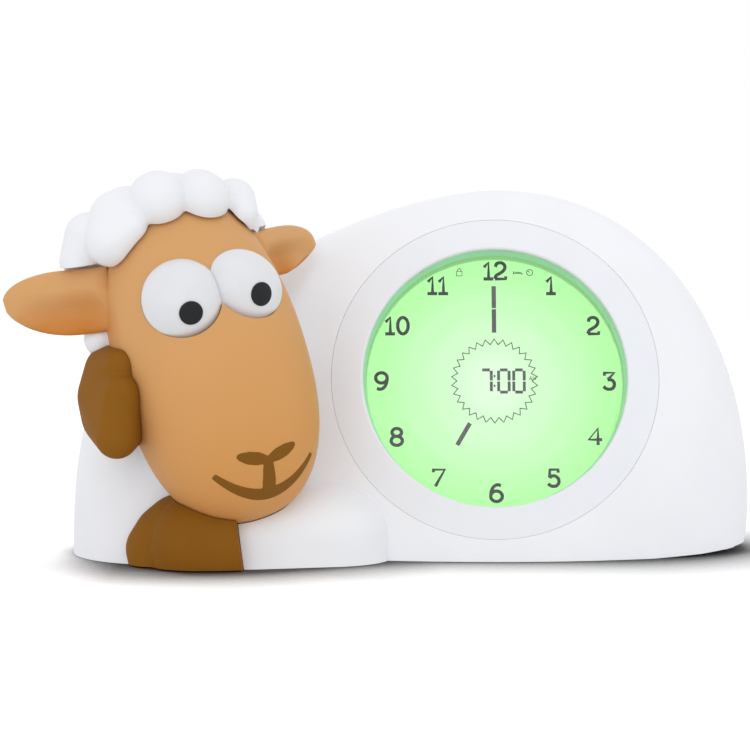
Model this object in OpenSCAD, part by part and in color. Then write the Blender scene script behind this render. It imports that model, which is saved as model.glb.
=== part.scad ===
// Children's alarm clock with night light: a lying lamb whose round body carries the display.
// Millimetres, +Z up, the display and the face look along -Y. The origin is on the table,
// under the middle of the overall box.

/* [Body] */
// Height of the ridge of the body above the table
body_height = 126; // [122:1:132]
// Distance of the ridge to the right of the origin
ridge_x = 40; // [38:0.5:42]
// Distance of the body's middle plane behind the origin
body_y = 22; // [20:0.5:24]
// Reach of the body to the right of its ridge
half_right = 88; // [86:1:94]
// Reach of the body to the left of its ridge
half_left = 146; // [143:1:150]
// Reach of the body in front of its middle plane
half_front = 35; // [34:0.5:37]
// Reach of the body behind its middle plane
half_rear = 36; // [35:0.5:39]
// How far the ridge lies behind the middle plane
lean_back = 9; // [8:0.5:10]
// Height of the widest level of the body
belly_z = 16; // [14:1:18]
// Wall thickness of the shells
wall = 2.4; // [2:0.1:2.7]
// Gap between the lower edge of the shells and the table
foot_gap = 1.2; // [0.8:0.1:1.6]
// Clearance between pieces that are fixed to each other
fit = 0.3; // [0.2:0.05:0.4]

/* [Chest and arm] */
// Middle of the chest to the right of the origin
chest_x = -71; // [-73:0.5:-70]
// Middle of the chest in front of the body's middle plane
chest_out = 10; // [9:0.5:11]
// Radius of the chest
chest_r = 34; // [33:0.5:35]
// Height of the chest
chest_height = 78; // [74:1:80]
// Radius of the forearm seen from above
arm_r = 23.5; // [22.5:0.5:24.5]
// Height of the forearm
arm_height = 26.5; // [25:0.5:28]
// Middle of the elbow to the right of the origin
elbow_x = -20; // [-22:1:-18]
// Middle of the elbow in front of the body's middle plane
elbow_out = 27; // [26:0.5:28]
// Middle of the wrist to the right of the origin
wrist_x = -46; // [-48:1:-44]
// Middle of the wrist in front of the body's middle plane
wrist_out = 33; // [32:0.5:34]
// Place of the flat end of the sleeve to the right of the origin
cuff_x = -47; // [-49:0.5:-46]

/* [Display] */
// Backward tilt of the display
dial_tilt = 17; // [16:0.5:18]
// Radius of the window
window_r = 45; // [44:0.5:46]
// Width of the control ring's face
ring_w = 11.5; // [11:0.5:12.5]
// Depth of the lens behind the rim of the window
recess = 6; // [5.5:0.5:7]
// Thickness of the control ring's face
ring_t = 1.8; // [1.4:0.1:2.2]
// Wall of the carrier's tube
carrier_wall = 1.8; // [1.4:0.1:2]
// Drop of the crowned ring from the middle of the dial to its outer edge
crown_drop = 6.2; // [5.4:0.2:6.8]
// Thickness of the clear lens
lens_t = 1.5; // [1.2:0.1:2]
// Thickness of the liquid crystal panel
lcd_t = 2; // [1.6:0.1:2.4]
// Thickness of the diffuser
diffuser_t = 3; // [2:0.5:3.5]
// Height of the reflector behind the diffuser
reflector_h = 7; // [6:0.5:8]
// Thickness of every circuit board
board_t = 1.6; // [1.2:0.2:1.8]
// Travel of the control ring's edge at each press
ring_travel = 0.9; // [0.5:0.1:1]
// Gap round the control ring
ring_gap = 0.4; // [0.3:0.05:0.6]
// Radius of the ring's hinge pins
pin_r = 1.2; // [1:0.1:1.4]
// Radial clearance of the hinge pins
pin_play = 0.06; // [0.04:0.01:0.09]

/* [Head] */
// Middle of the head to the right of the origin
head_x = -56; // [-57:0.5:-55]
// Middle of the head in front of the body's middle plane
head_out = 48; // [47:0.5:49]
// Height of the middle of the head
head_z = 66; // [65.5:0.5:68]
// Sideways lean of the head
head_lean = 16; // [14:0.5:18]
// Turn of the face towards the display
head_turn = 23; // [21:0.5:25]
// Half width of the head
head_half = 31.6; // [31:0.2:32.6]
// Reach of the muzzle in front of the middle of the head
muzzle = 32; // [31:0.5:33]
// Reach of the back of the head
nape = 25; // [24:0.5:26]
// Reach of the head from its middle to the crown
crown = 58; // [57:0.5:59]
// Reach of the head from its middle to the chin
chin = 52; // [51:0.5:52.5]
// Wall thickness of the head
head_wall = 2.2; // [1.8:0.1:2.6]
// Radius of the left eye's outline
eye_r = 13; // [12:0.1:13.2]
// Radius of an eye's dome
eye_dome_r = 15; // [14.5:0.25:16]
// Radius of a pupil
pupil_r = 3.9; // [3:0.1:4.5]
// Radius of a wool curl
curl_r = 12; // [11.5:0.25:12.25]
// Travel of the wool cap when it is pressed
cap_travel = 0.8; // [0.4:0.1:0.9]
// Gap between the wool cap and the head
cap_gap = 1.2; // [1.1:0.1:1.5]
// Radius of the stem under the wool cap
stem_r = 4; // [3.5:0.25:4.5]
// Outer radius of the neck tube
neck_r = 8; // [7:0.5:9]
// Wall of the neck tube
neck_wall = 1.8; // [1.4:0.1:2.2]

/* [Rear and base] */
// Middle of the battery bay to the right of the origin
bay_x = -38; // [-39:0.5:-36]
// Turn of the battery bay that follows the rear wall
bay_turn = 7.4; // [6.4:0.2:8.4]
// Height of the lower edge of the battery door
door_z = 10; // [9:0.5:11]
// Radius of a battery cell
cell_r = 7.1; // [6.9:0.1:7.2]
// Length of a battery cell without its nub
cell_len = 49; // [48:0.5:49.5]
// Travel of the battery door when it is taken off
door_travel = 16; // [8:1:20]
// Radius of the loudspeaker
speaker_r = 18; // [16:0.5:18.5]
// Height of the middle of the loudspeaker
speaker_z = 80; // [79:0.5:81]
// Radius of a rubber foot
foot_r = 6; // [5:0.5:7]
// Thickness of the base plate
base_t = 2.4; // [2:0.2:2.8]
// Travel of the power switch
switch_travel = 4; // [3:0.5:4]

/* [Hidden] */

tan_skin = [0.86, 0.64, 0.42];
brown_hoof = [0.52, 0.34, 0.11];
warm_white = [0.93, 0.94, 0.96];
board_green = [0.1, 0.4, 0.25];
steel = [0.7, 0.7, 0.72];

// Exponents of the body's rounded outlines
plan_n = 2.3;
right_n = 2.15;
left_n = 1.7;
front_n = 1.7;
rear_n = 2;
head_n = 2.4;
crown_n = 2.75;
head_plan_n = 2.2;
tuck = 0.02;                // share by which the wall draws in below the belly
brow_narrowing = 0.07;      // share by which the head is narrower at the crown
brow_setback = 9;           // how far the forehead lies behind the muzzle

// Steps of the meshed forms, and of round cuts in meshed pieces
body_steps = 46;
body_rows = 11;
head_steps = 32;
head_rows = 16;
round_fn = 16;

split_y = body_y + 4;       // plane between the front and rear shells
base_z = foot_gap;          // lower edge of the shells
right_end = ridge_x + half_right;
left_end = ridge_x - half_left;
base_top = base_z + base_t;
span = 400;                 // longer than any cut needs

// ---- Shared curves ----

// A rounded quarter outline, 1 at the middle and 0 at the rim
function rounded(t, n) = pow(max(0, 1 - pow(abs(t), n)), 1 / n);
function signed_power(v, e) = sign(v) * pow(abs(v), e);
function smooth(t) = let(k = min(1, max(0, t))) k * k * (3 - 2 * k);
function mix(a, b, k) = a + (b - a) * k;
function turns(n) = [for (i = [0:n - 1]) 360 * (i + 0.5) / n];
function lean_at(z) = lean_back * pow(max(0, z) / body_height, 1.5);

// A closed form through stacked rings of points, with a fan at each end
module loft(rings, low, high) {
    n = len(rings[0]);
    m = len(rings);
    points = concat([for (ring = rings) each ring], [low, high]);
    sides = [
        for (j = [0:m - 2], i = [0:n - 1]) each [
            [j * n + i, (j + 1) * n + i, (j + 1) * n + (i + 1) % n],
            [j * n + i, (j + 1) * n + (i + 1) % n, j * n + (i + 1) % n]
        ]
    ];
    bottom = [for (i = [0:n - 1]) [m * n, i, (i + 1) % n]];
    top = [for (i = [0:n - 1]) [m * n + 1, (m - 1) * n + (i + 1) % n, (m - 1) * n + i]];
    polyhedron(points = points, faces = concat(sides, bottom, top), convexity = 6);
}

// Everything below a level, or on one side of an upright plane
module below(z) {
    translate([-span / 2, -span / 2, z - span]) cube(span);
}

module right_of(x) {
    translate([x, -span / 2, -span / 2]) cube(span);
}

module before(y) {
    translate([-span / 2, y - span, -span / 2]) cube(span);
}

module behind(y) {
    translate([-span / 2, y, -span / 2]) cube(span);
}

// A closed tube along a route, smoothed between the route's own points
function spline(a, b, c, d, t) =
    0.5 * (2 * b + (c - a) * t + (2 * a - 5 * b + 4 * c - d) * t * t + (3 * b - a - 3 * c + d) * t * t * t);
function smoothed(route, steps) = [
    for (i = [0:len(route) - 2], s = [0:steps - 1]) spline(
        route[max(0, i - 1)], route[i], route[i + 1], route[min(len(route) - 1, i + 2)], s / steps),
    route[len(route) - 1]
];
function unit(v) = v / norm(v);

module lead(route, r) {
    path = smoothed(route, 3);
    last = len(path) - 1;
    sides = 6;
    rings = [for (i = [0:last])
        let(
            along = unit(path[min(last, i + 1)] - path[max(0, i - 1)]),
            across = unit(cross(along, [0.31, 0.17, 0.93])),
            up = cross(along, across)
        )
        [for (k = [0:sides - 1]) path[i] + r * (cos(360 * k / sides) * across + sin(360 * k / sides) * up)]
    ];
    loft(rings, path[0], path[last]);
}

// ---- Body form ----

function front_y(z) =
    body_y - half_front * rounded((z - belly_z) / (body_height - belly_z), front_n) + lean_at(z);

// Rear surface over a place on the ground plan, close to the true form
function rear_y(x, z) =
    let(
        k = rounded((max(z, belly_z) - belly_z) / (body_height - belly_z), rear_n),
        half = (x > ridge_x ? half_right : half_left) * k
    )
    body_y + half_rear * k * rounded((x - ridge_x) / half, plan_n) + lean_at(z);

dial_x = ridge_x - 1;
dial_z = body_height / 2;
dial_y = front_y(dial_z);
ring_r = window_r + ring_w;
crown_radius = ring_r * ring_r / (2 * crown_drop);
function crown_at(r) = -r * r / (2 * crown_radius);

// Depth of the crowned front over a place beside the dial, by repeated approximation
function crown_depth(x, z, w, tries) =
    let(
        y = (z * sin(dial_tilt) - w) / cos(dial_tilt),
        v = y * sin(dial_tilt) + z * cos(dial_tilt)
    )
    tries == 0 ? y : crown_depth(x, z, crown_at(norm([x, v])), tries - 1);

// Pulls a point of the body's front onto the crowned dial, fading out beyond the ring
fade_start = 3;
fade_width = 26;
facing_depth = 12;
function settle(p, inset) =
    let(
        d = p - [dial_x, dial_y, dial_z],
        v = d.y * sin(dial_tilt) + d.z * cos(dial_tilt),
        w = -d.y * cos(dial_tilt) + d.z * sin(dial_tilt),
        near = 1 - smooth((norm([d.x, v]) - ring_r - fade_start) / fade_width),
        facing = 1 - smooth((-w - inset - facing_depth) / facing_depth),
        y = dial_y + crown_depth(d.x, d.z, 0, 4) + inset / cos(dial_tilt)
    )
    [p.x, mix(p.y, y, near * facing), p.z];

// Plan outline of the body at full width
function plan_point(t, inset) = [
    ((cos(t) > 0 ? half_right : half_left) - inset) * signed_power(cos(t), 2 / plan_n),
    ((sin(t) > 0 ? half_rear : half_front) - inset) * signed_power(sin(t), 2 / plan_n)
];

function body_point(t, phi, inset) =
    let(
        n = mix(sin(t) > 0 ? rear_n : front_n, cos(t) > 0 ? right_n : left_n, cos(t) * cos(t)),
        z = belly_z + (body_height - belly_z - inset) * pow(sin(phi), 2 / n),
        q = plan_point(t, inset) * pow(cos(phi), 2 / n)
    )
    settle([ridge_x + q.x, body_y + q.y + lean_at(z), z], inset);

// Outline below the belly, where the wall draws in a little
function skirt_point(t, z, inset) =
    let(q = plan_point(t, inset) * (1 - tuck * pow((belly_z - z) / belly_z, 2)))
    settle([ridge_x + q.x, body_y + q.y + lean_at(z), z], inset);

below_base = 1;             // how far the forms run on below the shells' lower edge
module dome(inset) {
    low = base_z - below_base;
    top_phi = 87;
    skirt = [
        for (z = [low, (base_z + belly_z) / 2])
            [for (t = turns(body_steps)) skirt_point(t, z, inset)]
    ];
    upper = [
        for (row = [0:body_rows - 1])
            [for (t = turns(body_steps)) body_point(t, top_phi * row / (body_rows - 1), inset)]
    ];
    loft(
        concat(skirt, upper),
        [ridge_x, body_y, low],
        [ridge_x, body_y + lean_back, body_height - inset]
    );
}

chest_n = 2.6;
module chest(inset) {
    low = base_z - below_base;
    top = chest_height - inset;
    translate([chest_x, body_y - chest_out, 0])
        rotate_extrude($fn = 32)
            polygon(concat(
                [[0, low]],
                [for (a = [0:10:80]) let(z = mix(low, top, sin(a)))
                    [(chest_r - inset) * rounded(z / top, chest_n), z]],
                [[0, top]]
            ));
}

// A post of the forearm, straight below and domed above
module arm_post(r, height) {
    straight = height * 0.35;
    low = base_z - below_base;
    translate([0, 0, low]) cylinder(r = r, h = straight - low, $fn = 28);
    translate([0, 0, straight]) scale([1, 1, (height - straight) / r]) sphere(r = r, $fn = 28);
}

module forearm(inset, height) {
    hull() {
        translate([elbow_x, body_y - elbow_out, 0]) arm_post(arm_r - inset, height);
        translate([wrist_x, body_y - wrist_out, 0]) arm_post(arm_r - inset, height);
    }
}

module body_outside() {
    dome(0);
    chest(0);
    difference() {
        intersection() {
            forearm(0, arm_height);
            right_of(cuff_x);
        }
        head_form(-fit);
    }
}

arm_hollow = 12;            // height of the hollow in the forearm
module body_inside() {
    dome(wall);
    chest(wall);
    intersection() {
        forearm(wall, arm_hollow);
        right_of(cuff_x + wall);
    }
}

// ---- Screws ----

screw_r = 1.2;
pilot_r = 1.35;
shank_r = 1.5;
screw_head_r = 2.5;
screw_head_h = 1.8;
boss_r = 3.6;
boss_gap = 0.2;

// Pan-head screw that points along -Z, with its head on z = 0
module screw(length) {
    translate([0, 0, -length]) cylinder(r = screw_r, h = length);
    difference() {
        cylinder(r = screw_head_r, h = screw_head_h);
        for (turn = [0, 90]) rotate([0, 0, turn])
            translate([-0.4, -1.6, screw_head_h / 2]) cube([0.8, 3.2, screw_head_h]);
    }
}

case_screw_at = [
    [right_end - 21, 26], [right_end - 31, body_height - 42], [-14, body_height - 27], [left_end + 22, 26]
];
thread = 8;                 // length of thread in a front boss
tube_end = 4;               // floor under a case screw's head
module at_case_screws() {
    for (at = case_screw_at) translate([at.x, split_y, at.y]) rotate([-90, 0, 0]) children();
}

// Screws of the base plate: place, and direction of the wall that holds the boss
base_screw_at = [
    [[left_end + 12, 10], [-1, -0.3]], [[-22, -20], [0, -1]], [[right_end - 16, 14], [1, -0.6]],
    [[right_end - 18, 36], [1, 0.6]], [[left_end + 18, 34], [-1, 0.4]]
];
base_boss_h = 9;
module base_bosses(front) {
    for (s = base_screw_at) if ((s[0].y < split_y) == front) hull() {
        translate([s[0].x, s[0].y, base_top + boss_gap]) cylinder(r = boss_r, h = base_boss_h, $fn = round_fn);
        translate([s[0].x + 8 * s[1].x, s[0].y + 8 * s[1].y, base_top + boss_gap])
            cylinder(r = boss_r, h = base_boss_h + 6, $fn = round_fn);
    }
}

module base_pilots() {
    for (s = base_screw_at) translate([s[0].x, s[0].y, base_top - 1])
        cylinder(r = pilot_r, h = base_boss_h, $fn = round_fn);
}

// ---- Dial frame and its levels: +Z leaves the display, zero is the top of the crown ----

module on_dial() {
    translate([dial_x, dial_y, dial_z]) rotate([90 - dial_tilt, 0, 0]) children();
}

lens_gap = 0.4;             // room for the display's segments under the lens
lens_top = crown_at(window_r) - recess;
lcd_top = lens_top - lens_t;
diffuser_top = lcd_top - lcd_t;
reflector_top = diffuser_top - diffuser_t;
led_top = reflector_top - reflector_h;
led_low = led_top - board_t;
ledge_t = 1.6;
carrier_low = led_low - ledge_t;
carrier_in = window_r;
carrier_out = carrier_in + carrier_wall;
disc_r = carrier_in - 0.2;
bezel_top = crown_at(window_r) - ring_t - sqrt(2) * ring_travel - 0.3;
pivot_w = lens_top - 3;
gimbal_in = carrier_out + 1.5;
gimbal_out = gimbal_in + 2.4;
gimbal_half = 2.6;
lug_in = gimbal_out + 0.4;
lug_out = lug_in + 2.6;
lug_w = 7;
press_r = (lug_in + lug_out) / 2;
skirt_in = ring_r - 1.5;
skirt_low = -12;
flange_top = pivot_w - 7.5;
flange_t = 2;
flange_r = ring_r - 1.5;
ear_at = (ring_r + ring_gap + boss_r + 1.4) / sqrt(2);
ring_angle = asin(ring_travel / ring_r);

module at_dial_corners() {
    for (u = [-1, 1], v = [-1, 1]) translate([u * ear_at, v * ear_at, 0]) children();
}

// ---- Shells ----

module front_shell() {
    color(warm_white) difference() {
        union() {
            difference() {
                body_outside();
                body_inside();
            }
            intersection() {
                union() {
                    dome(0.6);
                    chest(0.6);
                }
                union() {
                    on_dial() at_dial_corners() translate([0, 0, flange_top])
                        cylinder(r = boss_r, h = -flange_top, $fn = round_fn);
                    at_case_screws() mirror([0, 0, 1]) hull() {
                        cylinder(r = boss_r, h = thread + 4, $fn = round_fn);
                        cylinder(r = boss_r * 0.8, h = 60, $fn = round_fn);
                    }
                    neck_pad_in_body();
                }
            }
            intersection() {
                body_outside();
                base_bosses(true);
            }
        }
        behind(split_y);
        on_dial() translate([0, 0, -24]) cylinder(r = ring_r + ring_gap, h = 60, $fn = 64);
        on_dial() at_dial_corners() translate([0, 0, flange_top - 1])
            cylinder(r = pilot_r, h = 8, $fn = round_fn);
        at_case_screws() translate([0, 0, -thread - 1]) cylinder(r = pilot_r, h = thread + 2, $fn = round_fn);
        base_pilots();
        at_neck() translate([0, 0, -span / 2]) cylinder(r = neck_r + fit, h = span, $fn = 24);
        below(base_z);
    }
}

slot_pitch = 4;
slot_r = 0.9;
slot_count = 7;
module speaker_slots() {
    for (i = [0:slot_count - 1])
        let(
            z = speaker_z + slot_pitch * (i - (slot_count - 1) / 2),
            half = sqrt(pow(speaker_r - 3.5, 2) - pow(z - speaker_z, 2)) - slot_r
        )
        hull() for (side = [-1, 1])
            translate([speaker_x + side * half, split_y + 4, z])
                rotate([-90, 0, 0]) cylinder(r = slot_r, h = 60, $fn = 8);
}

module rear_shell() {
    color(warm_white) difference() {
        union() {
            difference() {
                body_outside();
                body_inside();
            }
            intersection() {
                union() {
                    dome(0.6);
                    chest(0.6);
                }
                union() {
                    at_case_screws() cylinder(r = boss_r, h = 60, $fn = round_fn);
                    speaker_collar();
                }
            }
            intersection() {
                dome(wall - 0.6);
                bay_block();
            }
            intersection() {
                body_outside();
                base_bosses(false);
            }
        }
        before(split_y);
        at_case_screws() {
            translate([0, 0, -1]) cylinder(r = shank_r, h = tube_end + 2, $fn = round_fn);
            translate([0, 0, tube_end]) cylinder(r = screw_head_r + fit, h = 60, $fn = round_fn);
        }
        base_pilots();
        speaker_slots();
        at_speaker() translate([0, 0, -60]) cylinder(r = speaker_r + fit / 2, h = 60, $fn = 36);
        bay_hollow();
        difference() {
            door_prism(fit);
            dome(wall + fit);
        }
        usb_cut();
        switch_slot();
        below(base_z);
    }
}

// ---- Base ----

module plan_outline(inset) {
    k = 1 - tuck * pow((belly_z - base_z) / belly_z, 2);
    translate([ridge_x, body_y])
        polygon([for (t = turns(body_steps)) plan_point(t, inset) * k]);
    translate([chest_x, body_y - chest_out]) circle(r = chest_r - inset);
    difference() {
        hull() {
            translate([elbow_x, body_y - elbow_out]) circle(r = arm_r - inset, $fn = 48);
            translate([wrist_x, body_y - wrist_out]) circle(r = arm_r - inset, $fn = 48);
        }
        translate([cuff_x + inset - span, -span / 2]) square(span);
    }
}

foot_at = [[left_end + 14, 22], [-37, -16], [20, -2], [right_end - 20, 22], [20, 48], [-58, 38]];
foot_seat = 0.8;            // depth of a foot's pocket
module base_plate() {
    color(warm_white) difference() {
        translate([0, 0, base_z]) linear_extrude(base_t) plan_outline(wall + fit);
        for (at = foot_at) translate([at.x, at.y, base_z - 1]) cylinder(r = foot_r + 0.1, h = 1 + foot_seat);
        for (s = base_screw_at) translate([s[0].x, s[0].y, base_z - 1]) cylinder(r = shank_r, h = base_t + 2);
        for (s = base_screw_at) translate([s[0].x, s[0].y, base_z - 1])
            cylinder(r = screw_head_r + fit, h = 1 + base_t / 2);
        for (at = board_hole_at) translate([at.x, at.y, base_z - 1]) cylinder(r = pilot_r, h = base_t + 2);
    }
}

module rubber_feet() {
    color([0.2, 0.2, 0.2]) for (at = foot_at) translate([at.x, at.y, 0]) rotate_extrude()
        polygon([
            [0, 0], [foot_r - 0.6, 0], [foot_r, 0.6],
            [foot_r, base_z + foot_seat], [0, base_z + foot_seat]
        ]);
}

module base_screws() {
    color(steel) for (s = base_screw_at)
        translate([s[0].x, s[0].y, base_z + base_t / 2]) rotate([180, 0, 0])
            screw(base_t / 2 + base_boss_h - 2);
}

module case_screws() {
    color(steel) at_case_screws() translate([0, 0, tube_end]) screw(tube_end + thread - 0.5);
}

// ---- Display ----

module control_ring() {
    steps = [0:5];
    color(warm_white) on_dial() {
        rotate_extrude() polygon(concat(
            [for (i = steps) let(r = mix(window_r, ring_r, i / 5)) [r, crown_at(r)]],
            [[ring_r, skirt_low], [skirt_in, skirt_low]],
            [for (i = steps) let(r = mix(skirt_in, window_r, i / 5)) [r, crown_at(r) - ring_t]]
        ));
        for (turn = [0:90:270]) rotate([0, 0, turn])
            translate([lug_in, -lug_w / 2, pivot_w - gimbal_half])
                cube([lug_out - lug_in, lug_w, gimbal_half - pivot_w + crown_at(lug_out) - 0.4]);
        for (turn = [90, 270]) rotate([0, 0, turn]) translate([gimbal_in + 0.3, 0, pivot_w])
            rotate([0, 90, 0]) cylinder(r = pin_r, h = lug_in - gimbal_in + 0.5);
    }
}

module gimbal_ring() {
    color(steel) on_dial() difference() {
        translate([0, 0, pivot_w - gimbal_half]) cylinder(r = gimbal_out, h = 2 * gimbal_half);
        translate([0, 0, pivot_w - gimbal_half - 1]) cylinder(r = gimbal_in, h = 2 * gimbal_half + 2);
        for (turn = [0:90:270]) rotate([0, 0, turn]) translate([gimbal_in - 1, 0, pivot_w])
            rotate([0, 90, 0]) cylinder(r = pin_r + pin_play, h = gimbal_out - gimbal_in + 2);
    }
}

module dial_bezel() {
    color(warm_white) on_dial() rotate_extrude() polygon([
        [window_r - 0.8, lens_top], [carrier_out, lens_top],
        [carrier_out, bezel_top], [window_r + 0.4, bezel_top]
    ]);
}

module dial_carrier() {
    color(warm_white) difference() {
        on_dial() union() {
            rotate_extrude() polygon([
                [carrier_in - 3, carrier_low], [carrier_out, carrier_low], [carrier_out, lens_top],
                [carrier_in, lens_top], [carrier_in, led_low], [carrier_in - 3, led_low]
            ]);
            difference() {
                union() {
                    translate([0, 0, flange_top - flange_t]) cylinder(r = flange_r, h = flange_t);
                    for (turn = [45:90:315]) rotate([0, 0, turn])
                        translate([flange_r - 4, -boss_r, flange_top - flange_t])
                            cube([sqrt(2) * ear_at - flange_r + 4, 2 * boss_r, flange_t]);
                    at_dial_corners() translate([0, 0, flange_top - flange_t])
                        cylinder(r = boss_r, h = flange_t);
                }
                translate([0, 0, flange_top - flange_t - 1]) cylinder(r = carrier_out - 0.5, h = flange_t + 2);
                at_dial_corners() translate([0, 0, flange_top - flange_t - 1])
                    cylinder(r = shank_r, h = flange_t + 2);
            }
            for (turn = [0, 180]) rotate([0, 0, turn]) translate([carrier_out - 0.5, 0, pivot_w])
                rotate([0, 90, 0]) {
                    cylinder(r = gimbal_half, h = gimbal_in - carrier_out + 0.2);
                    cylinder(r = pin_r, h = gimbal_out - carrier_out + 0.2);
                }
        }
        below(base_top + fit);
    }
}

module carrier_screws() {
    color(steel) on_dial() at_dial_corners() translate([0, 0, flange_top - flange_t])
        rotate([180, 0, 0]) screw(flange_t + 5);
}

module display_lens() {
    color([0.9, 1, 0.95, 0.4]) on_dial() difference() {
        translate([0, 0, lens_top - lens_t]) cylinder(r = disc_r, h = lens_t);
        translate([0, 0, lens_top - lens_t - 1]) cylinder(r = window_r - 2, h = 1 + lens_gap);
    }
}

module lcd_panel() {
    color([0.72, 1, 0.68]) on_dial() translate([0, 0, diffuser_top]) cylinder(r = disc_r, h = lcd_t);
}

segment_t = 0.2;
sun_r = 15;
sun_teeth = 30;
sun_tooth = 1.9;
sun_line = 0.45;
bar_w = 1.5;

// Outline of the sun ring's zigzag
function sun_outline(r) = [
    for (i = [0:2 * sun_teeth - 1])
        let(a = 180 * i / sun_teeth, k = r - (i % 2) * sun_tooth) [k * sin(a), k * cos(a)]
];

// A straight bar of a hand, from one distance to another at a clock angle
module hand_bar(angle, from, to) {
    rotate([0, 0, -angle]) translate([-bar_w / 2, from, 0]) cube([bar_w, to - from, segment_t]);
}

// Seven-segment figure: top, upper left, upper right, middle, lower left, lower right, bottom
figure_w = 4.6;
figure_h = 8.8;
stroke = 1;
module figure(lit) {
    side = figure_h / 2 - stroke;
    for (row = [0:2]) if (lit[[0, 3, 6][row]])
        translate([-figure_w / 2 + stroke, figure_h * (0.5 - row / 2) - stroke * (1 - row / 2), 0])
            cube([figure_w - 2 * stroke, stroke * (row == 1 ? 0.9 : 1), segment_t]);
    for (half = [0, 1], edge = [0, 1]) if (lit[[1, 2, 4, 5][2 * half + edge]])
        translate([edge ? figure_w / 2 - stroke : -figure_w / 2, (half ? -1 : 0) * (side + 0.4) + 0.2, 0])
            cube([stroke, side, segment_t]);
}

seven = [1, 0, 1, 0, 0, 1, 0];
zero = [1, 1, 1, 0, 1, 1, 1];
module lcd_segments() {
    color([0.3, 0.32, 0.33]) on_dial() translate([0, 0, lcd_top]) {
        linear_extrude(segment_t) difference() {
            polygon(sun_outline(sun_r));
            polygon(sun_outline(sun_r - sun_line));
        }
        hand_bar(0, 17.1, 25.4);
        hand_bar(0, 25.8, 33.6);
        hand_bar(210, 17.1, 25.9);
        translate([-2.9, 0, 0]) figure(seven);
        translate([3.2, 0, 0]) figure(zero);
        translate([8.4, 0, 0]) figure(zero);
        for (side = [-1, 1]) translate([-0.3, side * 1.7 - 0.4, 0]) cube([0.6, 0.8, segment_t]);
    }
}

module diffuser() {
    color("white") on_dial() translate([0, 0, reflector_top]) cylinder(r = disc_r, h = diffuser_t);
}

module reflector() {
    color("white") on_dial() rotate_extrude() polygon([
        [disc_r - 6, led_top], [disc_r, led_top], [disc_r, reflector_top], [disc_r - 1.2, reflector_top]
    ]);
}

module led_board() {
    color(board_green) on_dial() translate([0, 0, led_low]) cylinder(r = disc_r, h = board_t);
}

led_count = 8;
module leds() {
    color([0.6, 1, 0.6]) on_dial() translate([0, 0, led_top]) {
        for (i = [0:led_count - 1]) rotate([0, 0, 360 * i / led_count]) translate([28, 0, 0])
            cylinder(r = 1.6, h = 1.4);
        cylinder(r = 1.6, h = 1.4);
    }
}

switch_board_r = flange_r;
dome_h = 2.1;
module switch_board() {
    color(board_green) difference() {
        on_dial() difference() {
            translate([0, 0, flange_top]) cylinder(r = switch_board_r, h = board_t);
            translate([0, 0, flange_top - 1]) cylinder(r = carrier_out + 0.4, h = board_t + 2);
        }
        below(base_top + fit);
    }
}

module switch_domes() {
    color([0.3, 0.3, 0.32]) on_dial() for (turn = [0:90:270]) rotate([0, 0, turn])
        translate([press_r, 0, flange_top + board_t]) rotate_extrude()
            polygon([[0, 0], [2, 0], [1.6, 0.8], [0.9, dome_h], [0, dome_h]]);
}

// ---- Electronics in the body ----

board_z = 9.6;
board_low = [8, 17];
board_high = [84, 51.8];
board_hole_at = [[12, 21], [80, 21], [12, 48], [80, 40]];
module main_board() {
    color(board_green) difference() {
        translate([board_low.x, board_low.y, board_z])
            cube([board_high.x - board_low.x, board_high.y - board_low.y, board_t]);
        for (at = board_hole_at) translate([at.x, at.y, board_z - 1]) cylinder(r = shank_r, h = board_t + 2);
    }
}

module board_posts() {
    color(warm_white) for (at = board_hole_at) translate([at.x, at.y, base_top]) difference() {
        cylinder(r = 3, h = board_z - base_top);
        translate([0, 0, -1]) cylinder(r = pilot_r, h = board_z);
    }
}

module board_screws() {
    color(steel) for (at = board_hole_at) translate([at.x, at.y, board_z + board_t]) screw(6);
}

module chips() {
    top = board_z + board_t;
    color([0.15, 0.15, 0.17]) {
        translate([40, 32, top]) cube([12, 12, 1.6]);
        translate([24, 30, top]) cube([8, 5, 1.4]);
        translate([20, 42, top]) cylinder(r = 3, h = 6);
        translate([60, 28, top]) cube([5, 4, 1.4]);
        translate([70, 30, top]) cube([4, 10, 2.4]);
    }
}

speaker_x = ridge_x - 2;
speaker_seat = rear_y(speaker_x, speaker_z + speaker_r) - wall - 1.5;
module at_speaker() {
    translate([speaker_x, speaker_seat, speaker_z]) rotate([-90, 0, 0]) children();
}

speaker_rim = 2.5;          // width of the shoulder that the loudspeaker rests on
module speaker_collar() {
    at_speaker() difference() {
        translate([0, 0, -3]) cylinder(r = speaker_r + 1.6, h = 30, $fn = 36);
        translate([0, 0, -4]) cylinder(r = speaker_r - speaker_rim, h = 40, $fn = 36);
    }
}

module speaker_frame() {
    color(steel) at_speaker() rotate_extrude() polygon([
        [speaker_r - 2, 0], [speaker_r, 0], [speaker_r, -1.6], [speaker_r - 2.2, -1.8],
        [10, -7], [5, -7], [5, -6.2], [9.4, -6.2], [speaker_r - 3, -1.5], [speaker_r - 2, -0.8]
    ]);
}

module speaker_cone() {
    color([0.2, 0.2, 0.2]) at_speaker() rotate_extrude() polygon([
        [0, -4.2], [3.8, -4.8], [speaker_r - 3.6, -0.6], [speaker_r - 2.1, -0.6],
        [speaker_r - 2.1, -0.2], [speaker_r - 3.8, -0.2], [3.8, -4.3], [0, -3.7]
    ]);
}

module speaker_magnet() {
    color([0.25, 0.25, 0.27]) at_speaker() {
        translate([0, 0, -11.5]) cylinder(r = 9, h = 4.5);
        translate([0, 0, -7]) cylinder(r = 4, h = 1.9);
    }
}

// ---- Battery bay: its own frame, +Y leaves the rear wall ----

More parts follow.
